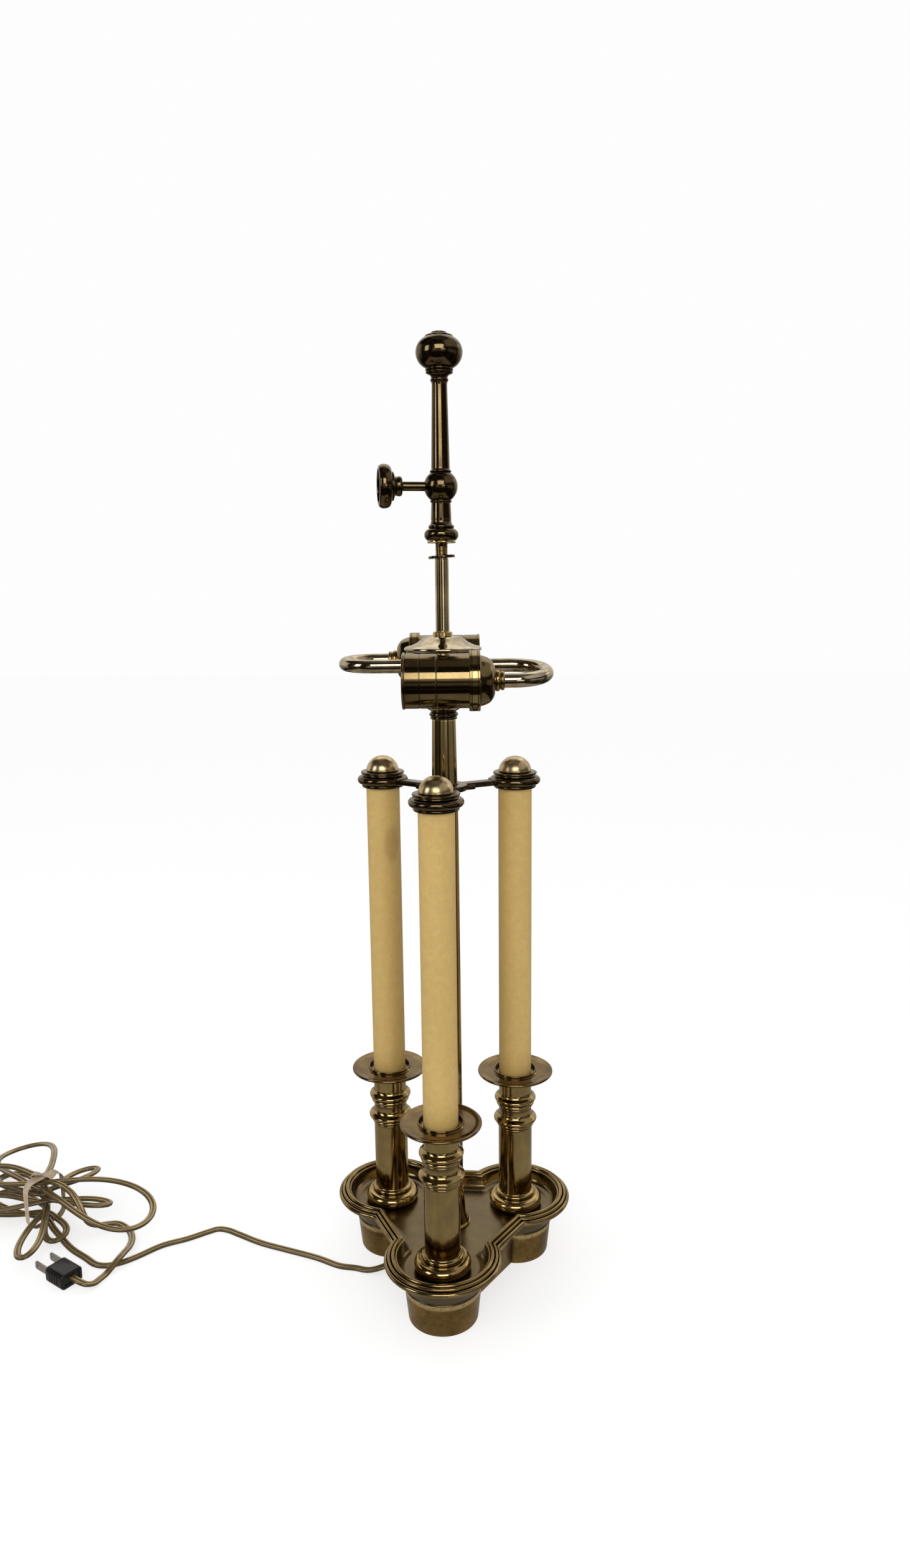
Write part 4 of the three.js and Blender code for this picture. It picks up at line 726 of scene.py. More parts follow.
tray = moulded("foot_tray", [
    (23.2, 35.5), (25.8, 25.7), (28.0, 25.7), (28.1, 27.2, 0.8), (28.4, 27.5), (29.1, 29.6, -0.15),
    (31.8, 36.4, -0.1), (38.2, 41.0, -0.25), (39.6, 41.2), (39.9, 42.1), (40.5, 42.3),
    (40.9, 46.3, 0.95), (40.3, 45.9), (40.1, 47.0), (38.0, 47.8, 0.85), (37.6, 47.1), (37.3, 48.3),
    (34.5, 48.7, 0.65), (34.1, 47.6), (33.5, 47.5), (32.9, 46.6, 0.4), (31.4, 41.4, -0.12),
    (28.8, 38.2, -0.2), (25.5, 37.5, -0.1),
])
settle(skirt, skirt_finish, "base_brass", "lamp", "base_skirt")
settle(tray, tray_finish, "base_brass", "lamp", "base_tray")


# Candlesticks. Each is turned from solid brass and bored for the rod that ties it to the tray.
def turned(name, stops, steps=96):
    """A turned piece: its closed profile goes round the lamp's axis."""
    points = [Vector((point.x, 0, point.y)) for point in curve_points(stops)]
    profile = points[:1] + [end for start, end in zip(points, points[1:]) if (end - start).length > 0.01]
    if stops[0][0] > 0:
        profile.append(profile[0])
    bpy.ops.object.select_all(action="DESELECT")
    bpy.ops.mesh.primitive_plane_add(size=mm)
    piece = bpy.context.object
    piece.name = name
    edit(piece)
    bpy.ops.mesh.select_all(action="SELECT")
    bpy.ops.mesh.merge(type="CENTER")
    bpy.ops.transform.translate(value=profile[0] * mm)
    for start, end in zip(profile, profile[1:]):
        extrude(*(end - start))
    bpy.ops.mesh.select_all(action="SELECT")
    bpy.ops.mesh.spin(steps=steps, angle=math.tau, center=(0, 0, 0), axis=(0, 0, 1))
    close_edit(piece, 30)
    return piece


def copy_to(piece, name, matrix):
    """A copy with its own mesh, moved."""
    hold(piece)
    bpy.ops.object.duplicate(linked=False)
    copy = bpy.context.object
    copy.name = name
    shift(copy, matrix)
    return copy


def three_of(piece, name, finish, slot, node):
    """A piece on the lamp's axis goes over each lobe."""
    for side, turn in lobe_turns.items():
        copy = copy_to(piece, f"{name}_{side}", spun(turn) @ moved(lobe_reach, 0, 0))
        settle(copy, finish, slot, "lamp", f"{node}_{side}")
    bpy.data.objects.remove(piece)


tray_floor = 37.5
stick_finish = brass(
    "golden_brown_brass", (0.24, 0.165, 0.066), (0.49, 0.355, 0.15), (0.90, 0.72, 0.38), (0.06, 0.17),
    streaks=0.4, patch_size=70, corner_shade=1.0,
)
stick = turned("stick", [(radius, tray_floor + height, *bulge) for radius, height, *bulge in [
    (17.2, 0), (17.6, 8.6, 0.74), (16.1, 8.7), (15.5, 9.4, -0.3), (14.0, 9.5), (14.0, 12.5, 0.85),
    (13.5, 12.6), (12.95, 13.9, -0.3), (12.95, 67.2), (13.5, 67.4), (13.5, 68.2, 0.5), (13.1, 68.5),
    (13.5, 68.8), (13.6, 71.2, 0.9), (13.7, 71.5), (15.2, 71.8), (15.6, 75.2, 0.75), (15.2, 75.6),
    (12.6, 80.6, -0.35), (12.6, 83.6), (13.1, 83.8), (13.1, 84.5, 0.5), (12.9, 84.8), (13.2, 85.1),
    (13.3, 88.0, 0.9), (13.4, 88.4), (14.5, 88.8), (14.9, 92.2, 0.75), (14.5, 92.6),
    (12.5, 97.3, -0.35), (12.5, 105.8), (13.0, 107.6, -0.3), (13.7, 107.8), (13.7, 108.8, 0.6),
    (13.9, 109.1), (15.0, 109.3), (15.0, 110.1, 0.6), (9.7, 110.1), (9.7, 0),
]])
three_of(stick, "turned_stick", stick_finish, "base_brass", "candlestick")


# Drip pans. They are dishes of spun brass with a rolled edge, each with a short cup for its candle,
# and lie on the tops of the candlesticks.
pan_finish = brass(
    "brown_pan_brass", (0.15, 0.10, 0.045), (0.29, 0.20, 0.09), (0.90, 0.70, 0.36), (0.08, 0.2),
    patch_size=60, corner_shade=0.9,
)
pan = turned("pan", [
    (9.9, 147.75), (18.4, 147.75), (19.0, 149.1, 0.4), (27.2, 149.2), (27.9, 149.0, 0.3),
    (27.9, 151.2, 0.95), (27.0, 151.1), (23.6, 150.2, -0.1), (17.0, 150.1), (16.4, 150.4, -0.3),
    (16.3, 151.5), (15.3, 151.5, 1), (15.3, 149.1), (9.9, 149.1),
])
three_of(pan, "spun_pan", pan_finish, "base_brass", "drip_pan")


# Candles. They are hollow sleeves of cream card, lacquered and yellowed, and stand in the cups. The
# left one has a soft darker brown patch near its top.
sleeve_finish = Finish("yellowed_card", Roughness=0.55)
place = sleeve_finish.coordinates()
mottle = sleeve_finish.noise(place, 190, 6.0, 0.75)
specks = sleeve_finish.noise(place, 1500, 3.0, 0.6)
clouds = sleeve_finish.noise(sleeve_finish.coordinates((1, 1, 0.35)), 28)
yellowing = sleeve_finish.between(mottle * 0.65 + clouds * 0.35, 0.3, 0.7)
card = sleeve_finish.mix(yellowing, tint(0.465, 0.31, 0.092), tint(0.54, 0.37, 0.12))
speckled = sleeve_finish.between(specks, 0.45, 0.75) * 0.4
card = sleeve_finish.mix(speckled, card, tint(0.36, 0.225, 0.065))
# A soft darker brown patch on the left candle, near its top.
brown_patch_place = (-0.0418, 0.0192, 0.332)
brown_patch_radius, brown_patch_reach = 0.007, 0.0161  # across and up
brown_patch_scale = (1 / brown_patch_radius, 1 / brown_patch_radius, 1 / brown_patch_reach)
brown_patch = sleeve_finish.node("Mapping", {
    "Vector": sleeve_finish.coordinates(), "Scale": brown_patch_scale,
    "Location": [-middle * scale for middle, scale in zip(brown_patch_place, brown_patch_scale)],
})
from_brown_patch = sleeve_finish.node("VectorMath", {0: brown_patch}, output=1, operation="LENGTH") + mottle * 0.25
brown_patch_share = (1 - sleeve_finish.between(from_brown_patch, 0.7, 1.3)) * 0.45
card = sleeve_finish.mix(brown_patch_share, card, tint(0.30, 0.175, 0.045))
sleeve_finish.shade(
    Base_Color=card,
    Roughness=0.45 + 0.25 * mottle,
    Normal=sleeve_finish.bump(specks * 0.5 + mottle * 0.5, 0.00015, 0.4),
)
sleeve = turned("sleeve", [
    (11.1, 149.15), (12.1, 149.15), (12.4, 149.5, 0.4), (12.4, 374.1), (12.1, 374.45, 0.4),
    (11.1, 374.45),
])
three_of(sleeve, "candle", sleeve_finish, "sleeve", "candle_sleeve")


# Yoke. A bronzed casting holds the three candles upright: a moulded ring caps each one, and a flat
# arm with a stepped end joins it to the hub round the column.
yoke_finish = brass(
    "bronzed_brass", (0.075, 0.053, 0.029), (0.17, 0.125, 0.068), (0.50, 0.38, 0.19), (0.08, 0.2),
    patch_size=90, wear=0.3,
)
ring = turned("yoke_ring", [
    (3.2, 374.6), (14.6, 374.6), (15.5, 375.5, 0.4), (15.1, 376.8, 0.3), (16.0, 377.2),
    (16.4, 383.0, 0.86), (15.5, 383.4), (14.9, 384.5, -0.3), (15.4, 384.7), (15.2, 386.4, 1),
    (12.6, 386.5), (3.2, 386.5),
])
hub = turned("yoke", [
    (9.9, 377.5), (15.6, 377.5), (16.2, 378.1, 0.4), (16.2, 380.9), (15.6, 381.5, 0.4),
    (9.9, 381.5),
])
yoke_arm = (                  # half width, start, end, foot and top, and the end that is rounded more
    (4.5, 12.5, 42, 377.7, 381.5, None),
    (5.6, 11.5, 22, 376.7, 380.4, 22),
    (5.6, 37.5, 43, 377.3, 382.6, 37.5),
)
for turn in lobe_turns.values():
    turned_out = spun(turn)
    for half, start, end, low, high, rounded in yoke_arm:
        part = block("yoke_part", (start, -half, low), (end, half, high))
        edit(part)
        if rounded:
            pick(part, "EDGE", lambda middle, way: abs(middle.x - rounded) < 0.1 and abs(way.y) > 0.9)
            bpy.ops.mesh.bevel(offset=1.2 * mm, segments=3)
        pick(part, "EDGE", lambda middle, way: abs(way.x) > 0.6)
        bpy.ops.mesh.bevel(offset=0.7 * mm, segments=3)
        close_edit(part)
        shift(part, turned_out)
        finish_with(hub, "BOOLEAN", operation="UNION", object=part, solver="EXACT")
        bpy.data.objects.remove(part)
    cap = copy_to(ring, "yoke_cap", turned_out @ moved(lobe_reach, 0, 0))
    finish_with(hub, "BOOLEAN", operation="UNION", object=cap, solver="EXACT")
    bpy.data.objects.remove(cap)
bpy.data.objects.remove(ring)
edit(hub)
close_edit(hub, 30)
settle(hub, yoke_finish, "dark_brass", "lamp", "candle_yoke")

dome_finish = brass(
    "polished_dome_brass", (0.36, 0.27, 0.14), (0.80, 0.64, 0.37), (0.90, 0.74, 0.44), (0.14, 0.34),
    patch_size=160, corner_shade=0.5,
)
dome = turned("dome", [(0, 386.6), (11.4, 386.6), (12.1, 387.4, 0.4), (0, 397.8, 0.39)], steps=64)
three_of(dome, "dome", dome_finish, "dome_brass", "dome_nut")


# Column. A turned brass tube with a flared foot stands on the tray and tapers all the way up. The
# collar of three beads on it carries the cluster, and the stem pipe inside pulls it all together.
column = turned("column_tube", [
    (5.4, 37.6), (15.0, 37.6), (15.4, 38.4, 0.4), (13.6, 40.3, -0.25), (11.8, 52.5, -0.1),
    (10.3, 87.5, -0.05), (9.6, 350), (8.4, 428.5), (5.4, 428.5),
])
settle(column, stick_finish, "base_brass", "lamp", "column")
collar = turned("column_beads", [
    (5.4, 428.6), (8.8, 428.6), (8.9, 430.4, 0.8), (8.8, 430.7), (9.0, 433.5, 0.95), (8.7, 433.8),
    (8.7, 435.0, 0.8), (5.4, 435.0),
])
settle(collar, yoke_finish, "dark_brass", "lamp", "column_collar")


# Cluster. A thin spun bowl holds the wiring, and a bell-shaped cover with a rolled rim lies on it
# under a knurled nut. Both are polished brass, pale and streaked where the lacquer has gone.
pale_finish = brass(
    "pale_polished_brass", (0.22, 0.165, 0.095), (0.74, 0.64, 0.47), (0.90, 0.79, 0.56), (0.03, 0.11),
    streaks=0.3, patch_size=75, corner_shade=0.7,
)
cluster_turn = spun(5.24)
bowl = turned("cluster_bowl", [
    (5.4, 435.2), (10.4, 435.2), (14.0, 438.0, 0.06), (20.0, 445.9, 0.08), (23.5, 455.9, 0.1),
    (23.8, 476), (22.6, 476), (22.3, 456.3), (18.9, 446.7, -0.1), (13.3, 439.0, -0.08),
    (10.0, 436.4, -0.05), (5.4, 436.4),
])
settle(bowl, pale_finish, "pale_brass", "lamp", "cluster_body")
cover = turned("cluster_bell", [
    (24.6, 471.3), (25.9, 471.3), (25.9, 475.6), (26.2, 476.7, -0.2), (26.3, 479.1, 0.75),
    (25.4, 479.7), (14.6, 484.9, -0.14), (12.3, 486.0, 0.1), (11.4, 486.35, 0.15), (5.0, 486.4),
    (5.0, 485.2), (11.6, 485.1),
    (14.2, 483.8), (24.2, 478.7, 0.14), (24.6, 477.5),
])
settle(cover, pale_finish, "pale_brass", "lamp", "cluster_cover")


def knurled(piece, count, low, high, reach, depth):
    """Raises every other face of a turned band into a rib."""
    def on_rib(place, normal):
        share = math.atan2(place.y, place.x) / math.tau * count
        inside = low < place.z < high and abs(normal.z) < 0.3 and place.xy.length > reach
        return inside and round(share - 0.5) % 2 == 0
    edit(piece)
    pick(piece, "FACE", on_rib)
    bpy.ops.mesh.inset(thickness=0.05 * mm, depth=depth * mm, use_individual=True)
    close_edit(piece)


golden_finish = brass(
    "golden_brass", (0.20, 0.125, 0.045), (0.50, 0.355, 0.14), (0.88, 0.68, 0.32), (0.1, 0.26),
    streaks=0.2, patch_size=60, corner_shade=0.6,
)
cover_nut = turned("knurled_nut", [
    (4.9, 486.5), (6.3, 486.5), (6.55, 486.8), (6.55, 489.3), (6.2, 489.7), (4.9, 490.1),
], steps=72)
knurled(cover_nut, 72, 486.9, 489.2, 6.3, 0.22)
settle(cover_nut, golden_finish, "pale_brass", "lamp", "cover_nut")


# Lights. On each side a brass tube comes out of the bowl and bends back on itself into the cap of a
# lamp holder, which lies level. The front one has tipped forward a little on its thread.
arm_start, arm_reach, arm_bend, arm_return, arm_radius = 17.5, 47.5, 23, 33.5, 4.8
arm_steps, arm_bend_steps, arm_return_steps = 10, 40, 5
bpy.ops.object.select_all(action="DESELECT")
bpy.ops.mesh.primitive_circle_add(
    vertices=40, radius=arm_radius * mm, fill_type="NGON", location=(arm_start * mm, 0, 0),
    rotation=(0, math.pi / 2, 0),
)
bpy.ops.object.transform_apply(location=True, rotation=True, scale=True)
arm = bpy.context.object
edit(arm)
bpy.ops.mesh.select_all(action="SELECT")
for i in range(arm_steps):
    extrude(x=(arm_reach - arm_start) / arm_steps)
bend_middle = (arm_reach * mm, -arm_bend * mm, 0)
bpy.ops.mesh.spin(steps=arm_bend_steps, angle=math.pi, center=bend_middle, axis=(0, 0, 1))
for i in range(arm_return_steps):
    extrude(x=(arm_return - arm_reach) / arm_return_steps)
close_edit(arm)
along_holder = moved(0, -2 * arm_bend, 0) @ spun(90, "Y")


def holder_part(name, stops, steps=96):
    """A turned piece of a lamp holder. Its heights run along the holder from the lamp's axis."""
    piece = turned(name, stops, steps=steps)
    shift(piece, along_holder)
    return piece


collar = holder_part("arm_beads", [
    (4.9, 34.8), (6.4, 34.8), (6.6, 35.0), (6.6, 37.5, 0.4), (5.9, 37.8), (5.7, 38.1, -0.2),
    (5.9, 38.4), (5.9, 40.6, 0.5), (5.3, 40.9), (4.9, 40.9),
])
cap = holder_part("holder_cap", [
    (18.3, 17.5), (19.5, 17.5), (20.0, 18.0, 0.4), (20.0, 18.9), (19.8, 19.05), (19.8, 19.35),
    (20.0, 19.5), (20.0, 22.8), (19.8, 22.95), (19.8, 23.25), (20.0, 23.4), (20.0, 24.3),
    (19.5, 24.8, 0.4), (17.3, 24.9), (16.7, 25.4, -0.3), (15.8, 28.4, 0.06), (12.4, 32.9, 0.18),
    (8.4, 34.55, 0.14), (6.4, 34.7), (4.9, 34.7), (4.9, 33.9), (8.2, 33.8), (11.8, 32.2, -0.14),
    (15.0, 28.1, -0.18), (15.9, 24.6), (17.6, 24.4), (18.3, 24.0),
])
notch_turn, notch_half_width = -53, 11     # in degrees round the cap
notch_start, notch_end, notch_reach = 18.9, 23.4, 19      # along the holder, and out from its axis


def in_notch(middle, way):
    from_middle = abs(math.degrees(math.atan2(way.z, -way.y)) - notch_turn)
    outside = abs(way.x) < 0.5 and math.hypot(middle.y + 2 * arm_bend, middle.z) > notch_reach
    return outside and notch_start < middle.x < notch_end and from_middle < notch_half_width


edit(cap)
pick(cap, "FACE", in_notch)
bpy.ops.mesh.inset(thickness=0.5 * mm, depth=0.35 * mm)
bpy.ops.mesh.inset(thickness=0.4 * mm, depth=-0.7 * mm)
close_edit(cap)
shell = holder_part("holder_shell", [
    (17.4, -26.4), (17.9, -26.7, 0.3), (17.95, -24.9, 0.75), (18.0, -15.6), (17.7, -15.3),
    (17.7, -14.9), (18.0, -14.6), (18.0, -4.6), (17.65, -4.2), (17.65, -3.7), (18.0, -3.3),
    (18.0, 21.3), (17.4, 21.3),
])
liner = holder_part("holder_liner", [(16.95, -25.3), (17.35, -25.3), (17.35, 12.2), (16.95, 12.2)])
insert = holder_part("holder_insert", [
    (0, 1.3), (3.6, 1.3), (4.0, 1.8, 0.3), (4.0, 4.3), (13.6, 4.3), (13.6, -23.6), (16.2, -23.6),
    (16.9, -22.9, 0.4), (16.9, 12.2), (0, 12.2),
])
shell_waves = [-22.6 + 3.6 * i for i in range(6)]      # where each wave of the thread starts
thread = [(12.9, -23.6), (13.3, -23.6)]
for start in shell_waves:
    thread += [(13.3, start), (13.5, start + 1.2, 0.3), (12.9, start + 2.4, -0.3), (12.9, start + 3.0)]
thread += [(13.1, 0.3), (12.5, 0.3)]
for start in reversed(shell_waves):
    thread += [(12.5, start + 3.0), (12.5, start + 2.4), (13.1, start + 1.2, 0.3), (12.9, start)]
screw_shell = holder_part("holder_screw_shell", thread, steps=72)

holder_finish = brass(
    "holder_brass", (0.105, 0.07, 0.03), (0.25, 0.188, 0.088), (0.80, 0.62, 0.30), (0.05, 0.14),
    streaks=0.12, patch_size=40, corner_shade=0.6, wear=0.3, brushed=(0.04, 1, 1),
)
phenolic_finish = grained(
    "brown_phenolic", 240, 5.0, (0.010, 0.007, 0.005), (0.045, 0.03, 0.02), 0.0001, 0.4,
)
phenolic_finish.shade(Roughness=0.25 + 0.3 * phenolic_finish.grain)
card_finish = grained("grey_card", 1200, 5.0, (0.10, 0.09, 0.08), (0.30, 0.27, 0.23), 0.0001, 0.5, 0.9)
light_height = 466
for side, yaw, droop in (("front", 0, 8.7), ("rear", 180, -2.1)):
    place = cluster_turn @ moved(0, 0, light_height) @ spun(yaw) @ spun(droop, "X")
    for piece, name, finish, slot, node in (
        (arm, "bent_arm", pale_finish, "pale_brass", "arm"),
        (collar, "arm_beads", golden_finish, "holder_brass", "arm_collar"),
        (cap, "holder_cap", holder_finish, "holder_brass", "socket_cap"),
        (shell, "holder_shell", holder_finish, "holder_brass", "socket_shell"),
        (liner, "holder_liner", card_finish, "fibre", None),
        (insert, "holder_insert", phenolic_finish, "phenolic", "socket_insert"),
        (screw_shell, "holder_screw", golden_finish, "pale_brass", "screw_shell"),
    ):
        nodes = [f"{node}_{side}"] if node else []
        settle(copy_to(piece, f"{name}_{side}", place), finish, slot, "lamp", *nodes)
for piece in (arm, collar, cap, shell, liner, insert, screw_shell):
    bpy.data.objects.remove(piece)


# Switch. A rotary switch behind the cluster works both lights. Its body is inside the bowl, and
# only the bush, its nut and the ribbed brass knob show.
switch_reach, switch_height, switch_tilt = 19.6, 445, -135
switch_place = cluster_turn @ moved(0, switch_reach, switch_height) @ spun(switch_tilt, "X")
knob = turned("ribbed_knob", [
    (0, 3.0), (3.6, 3.0), (4.4, 3.4), (4.6, 4.2, 0.3), (4.6, 10.6), (4.2, 11.5, 0.3),
    (2.6, 11.9, 0.1), (0, 11.9),
], steps=48)
knurled(knob, 48, 4.4, 10.5, 4.4, 0.28)
shift(knob, switch_place)
settle(knob, golden_finish, "holder_brass", "switch_knob", "switch_knob")


# Shade rod. A polished brass rod comes up out of the cover, with a shoulder for the washer, a fine
# thread above it and a slim guide end inside the riser.
rod_profile = [(0, 464.3), (4.3, 464.3), (4.75, 464.8), (4.75, 538.8), (4.3, 539.3)]
thread_start, thread_pitch, thread_count = 539.5, 0.9, 29
for i in range(thread_count):
    start = thread_start + thread_pitch * i
    rod_profile += [(4.3, start + 0.3), (3.95, start + 0.65)]
rod_profile += [(4.2, 565.7), (3.2, 565.8), (3.2, 639.4), (2.8, 640), (0, 640)]
rod_finish = brass(
    "streaked_rod_brass", (0.20, 0.145, 0.075), (0.62, 0.50, 0.32), (0.90, 0.77, 0.50), (0.03, 0.1),
    streaks=0.4, patch_size=60, corner_shade=0.8,
)
settle(turned("shade_rod_turned", rod_profile, steps=48), rod_finish, "pale_brass", "lamp", "shade_rod")
washer = turned("loose_washer", [
    (4.8, -0.85), (8.8, -0.85), (9.2, -0.4, 0.4), (9.2, 0.4), (8.8, 0.85, 0.4), (4.8, 0.85),
])
washer_height, washer_tilt = 540.75, -3.8
shift(washer, moved(0, 0, washer_height) @ spun(washer_tilt, "Y"))
settle(washer, yoke_finish, "dark_brass", "lamp", "rod_washer")


# Riser. It carries the shade: it slides on the rod, stands on a ferrule and is clamped by a
# thumb-screw through its ball. All of it is turned brass with a dark bronze lacquer, rubbed on the
# edges. The finial screws down on its cup.
riser_finish = brass(
    "dark_lacquered_brass", (0.075, 0.053, 0.028), (0.16, 0.115, 0.058), (0.50, 0.37, 0.17), (0.07, 0.18),
    streaks=0.08, patch_size=40, wear=0.5,
)
ferrule = turned("ferrule_ring", [
    (4.4, 549.95), (9.4, 549.95), (9.9, 550.4), (9.9, 550.9), (9.4, 551.3), (4.4, 551.3),
])
settle(ferrule, golden_finish, "holder_brass", "ferrule", "riser_ferrule")
riser = turned("riser_turned", [
    (0, 655), (3.5, 655), (3.5, 579.6), (5.2, 579.6), (5.2, 551.7), (9.8, 551.7),
    (10.3, 552.3, 0.4), (10.0, 558.8, 0.5), (9.3, 559.3), (8.3, 559.8, -0.2), (8.2, 561.9, 0.6),
    (7.7, 562.2), (7.0, 565.8, -0.2), (6.6, 576.2), (7.2, 577.3, -0.3), (7.2, 578.2, 0.6),
    (6.8, 578.6), (6.8, 596.5, 0.53), (7.1, 596.9), (7.1, 597.9, 0.6), (6.3, 599.0, -0.3),
    (5.2, 652.5), (5.5, 655.0, -0.1), (5.5, 657.4, 0.5), (5.6, 657.9), (7.8, 660.0, -0.3),
    (8.8, 660.5), (8.8, 661.4, 0.8), (0, 661.4),
])
settle(riser, riser_finish, "dark_brass", "riser", "riser")

screw = turned("thumb_screw_turned", [
    (0, 3.5), (2.3, 3.6), (3.1, 4.8, 0.2), (3.1, 26.2), (5.2, 26.5), (6.4, 27.4, 0.3),
    (6.5, 29.2, 0.2), (6.1, 30.5, 0.1), (8.2, 31.8, -0.25), (9.3, 32.3), (9.3, 33.4, 0.6),
    (11.0, 33.9), (14.1, 36.2, 0.3), (14.5, 38.6, 0.1), (13.9, 41.3, 0.2), (12.1, 42.6, 0.3),
    (11.2, 42.3, 0.3), (10.2, 40.2, -0.1), (8.6, 39.5, -0.3), (0, 39.3),
])
screw_height, screw_turn = 587.5, 194.2
shift(screw, moved(0, 0, screw_height) @ spun(screw_turn) @ spun(90, "Y"))
settle(screw, riser_finish, "dark_brass", "thumb_screw", "thumb_screw")

finial = turned("finial_turned", [
    (0, 661.8), (8.6, 661.8), (9.3, 662.5, 0.4), (9.2, 663.4, 0.3), (8.7, 663.7), (9.3, 664.0),
    (9.6, 683.1, 0.66), (9.3, 683.4), (9.2, 684.0, 0.5), (8.4, 684.3), (5.5, 685.4, -0.25),
    (5.3, 685.6), (4.9, 686.3, 0.4), (0, 686.6, 0.03),
])
settle(finial, riser_finish, "dark_brass", "finial", "finial")


# Bushing. A brown fibre bush with a flange lines the hole where the cord leaves the skirt. The hole
# is drilled through the skirt's left straight side, just above the table.
bush_turn, bush_reach, bush_shift, bush_height = 210, 39.9, -10.5, 7.5
bush_place = spun(bush_turn) @ moved(bush_reach, bush_shift, bush_height) @ spun(90, "Y")
bush = turned("cord_bush", [
    (3.3, -3.6), (4.5, -3.6), (4.5, 0.0), (5.6, 0.0), (6.0, 0.4, 0.4), (5.8, 1.2, 0.3),
    (4.4, 1.5, 0.1), (3.5, 1.2, 0.3), (3.3, 0.6),
], steps=48)
shift(bush, bush_place)
bpy.ops.mesh.primitive_cylinder_add(vertices=48, radius=4.6 * mm, depth=12 * mm)
drill = bpy.context.object
shift(drill, bush_place)
finish_with(skirt, "BOOLEAN", operation="DIFFERENCE", object=drill, solver="EXACT")
bpy.data.objects.remove(drill)
edit(skirt)
close_edit(skirt)
fibre_finish = grained(
    "brown_fibre", 800, 5.0, (0.022, 0.017, 0.013), (0.07, 0.055, 0.042), 0.00015, 0.5, 0.7,
)
settle(bush, fibre_finish, "fibre", "lamp", "cord_bushing")


# Inner fittings. The stem pipe and its nuts, the hickey, the tie rods with their nuts, the switch
# and the leads are plain stock parts out of sight, and keep the frame's meshes.
lead_finish = grained("black_lead", 900, 4.0, (0.008, 0.008, 0.009), (0.05, 0.05, 0.05), 0.0001, 0.5)
tie_rods = [f"tie_rod_{side}" for side in lobe_turns]
stock = {
    steel_finish: ["stem_pipe", "stem_nut_low", "stem_nut_high", "hickey", *tie_rods],
    phenolic_finish: ["switch_body"],
    lead_finish: ["socket_wire_front", "socket_wire_rear"],
}
for finish, nodes in stock.items():
    for node in nodes:
        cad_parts[node].data.materials.clear()
        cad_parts[node].data.materials.append(finish.material)


# Studio. A pale floor, one soft light in front and above, and a weak one to the left. What the
# brass mirrors is a table top and a dark room with bright openings, which the camera doesn't see.
bpy.ops.object.select_all(action="DESELECT")
bpy.ops.mesh.primitive_plane_add(size=12)
floor = bpy.context.object
floor.name = "floor"
floor.visible_glossy = False
paper_finish = Finish("floor_paper", Roughness=0.9)
tooth = paper_finish.noise(paper_finish.coordinates(), 500, 4.0)
paper_finish.shade(
    Base_Color=paper_finish.mix(tooth, tint(0.40, 0.40, 0.40), tint(0.43, 0.43, 0.43)),
    Normal=paper_finish.bump(tooth, 0.00005, 0.2),
    Emission_Color=tint(1, 1, 1),
    Emission_Strength=0.66,
)
floor.data.materials.append(paper_finish.material)

# The table top, as the brass mirrors it, ends a hand's length in front of the foot.
bpy.ops.object.select_all(action="DESELECT")
table_middle, table_size = (-0.12, 0.06, -0.002), (0.9, 0.6, 1)
bpy.ops.mesh.primitive_plane_add(size=1, location=table_middle, scale=table_size)
bpy.ops.object.transform_apply(location=True, rotation=True, scale=True)
table_top = bpy.context.object
table_top.name = "table_top"
table_top.visible_camera = table_top.visible_diffuse = table_top.visible_shadow = False
table_finish = Finish(
    "table_glow", Base_Color=tint(0, 0, 0), Roughness=1.0, Specular_IOR_Level=0.0, Emission_Strength=1.0,
)
marks = table_finish.noise(table_finish.coordinates(), 7, 4.0)
table_finish.shade(Emission_Color=table_finish.mix(marks, tint(0.24, 0.22, 0.19), tint(0.46, 0.43, 0.38)))
table_top.data.materials.append(table_finish.material)


class Room(Finish):
    """The world, with the same methods as a material."""

    def __init__(self, world):
        world.use_nodes = True
        self.tree = world.node_tree
        self.shader = self.tree.nodes["Background"]


bpy.context.scene.world = bpy.data.worlds.new("room")
room = Room(bpy.context.scene.world)
way = room.node("TexCoord", {}, "Generated")
x, y, z = room.axes(way)
azimuth = y.maths("ARCTAN2", x) * math.degrees(1)
height = z.maths("ARCSINE") * math.degrees(1)


def within(angle, low, high, soft):
    past_low, past_high = (room.between(angle, end - soft, end + soft) for end in (low, high))
    return past_low * (1 - past_high)


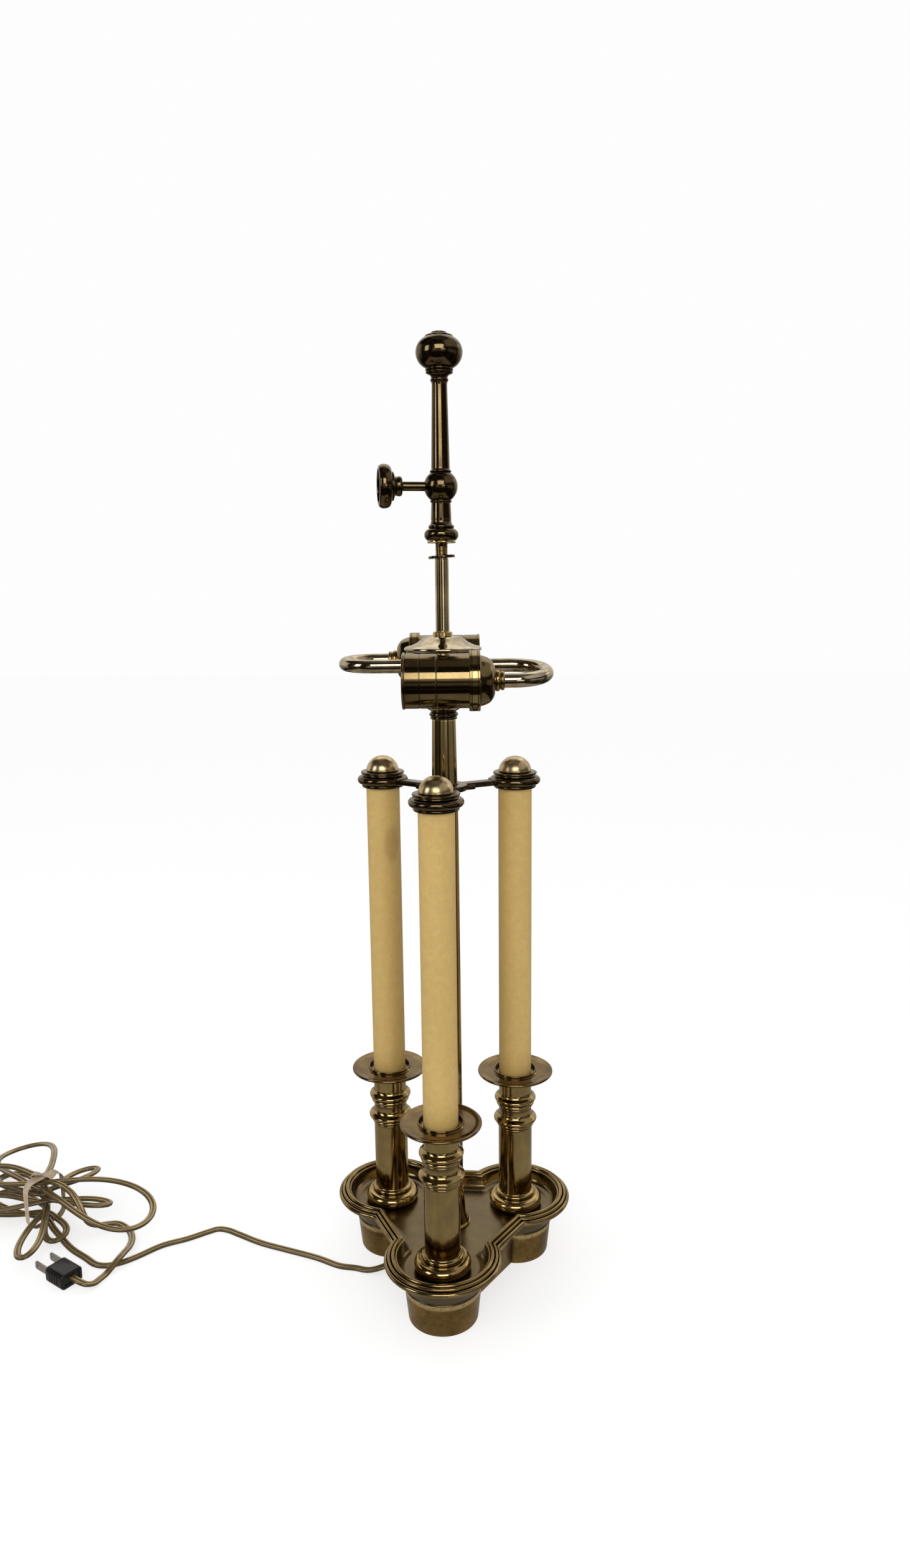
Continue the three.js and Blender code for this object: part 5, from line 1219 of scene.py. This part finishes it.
def opening(left, right, low, high, soft=2.0):
    """A bright patch in the room, in degrees of azimuth and height."""
    return within(azimuth, left, right, soft) * within(height, low, high, soft)


clutter = room.between(room.noise(way, 3.5, 4.0), 0.4, 0.65)
dark_room = room.mix(clutter, tint(0.009, 0.007, 0.005), tint(0.055, 0.043, 0.031))
openings = (
    opening(-114, -98, -4, 7, 1) * 0.5              # the pale wall below the window, beside a dark door
    + opening(-75, -56, -4, 7, 1) * 1.1
    + opening(-114, -55, -14, -3) * 0.14
    + opening(-106, -74, 6, 14, 3) * 0.5            # the window's lower pane
    + opening(-160, -142, -1, 12, 2) * 0.3          # a smaller window on the left
    + opening(-50, 45, 20, 62, 6) * 0.45            # the upper walls on the right
    + opening(-38, 12, -13, 4, 4) * 0.22            # lit walls on the right and behind
    + opening(24, 178, -4, 30, 6) * 0.7
    + opening(24, 178, -20, -4, 6) * 0.25
    + opening(45, 135, 30, 66, 6) * 0.95
    + room.between(height, 66, 72) * 0.08           # the ceiling
)
mirrored = room.mix(openings.clamped(), dark_room, tint(1.0, 0.95, 0.87))
mirrored = room.mix(room.between(openings, 0.8, 1.5), mirrored, tint(2.6, 2.5, 2.3))
from_camera = room.node("LightPath", {}, "Is Camera Ray")
seen = room.mix(from_camera, tint(0.72, 0.72, 0.73), tint(0.985, 0.985, 0.985))
seen = room.mix(room.node("LightPath", {}, "Is Glossy Ray"), seen, mirrored)
room.shade(Color=seen, Strength=1.0)
bpy.context.scene.view_settings.view_transform = "Standard"

for name, place, aim_at, size, power, colour in (
    ("key", (0.16, -1.42, 1.18), (0, 0, 0.3), (1.1, 0.72), 10, (1.0, 0.97, 0.92)),
    ("window", (-1.3, -0.9, 1.0), (0, 0, 0.35), (0.5, 0.8), 4, (0.95, 0.98, 1.0)),
):
    turn = (Vector(aim_at) - Vector(place)).to_track_quat("-Z", "Y")
    bpy.ops.object.light_add(type="AREA", location=place, rotation=turn.to_euler())
    light = bpy.context.object
    light.name = name
    light.data.shape = "RECTANGLE"
    light.data.size, light.data.size_y = size
    light.data.energy = power
    light.data.color = colour
    light.visible_camera = False
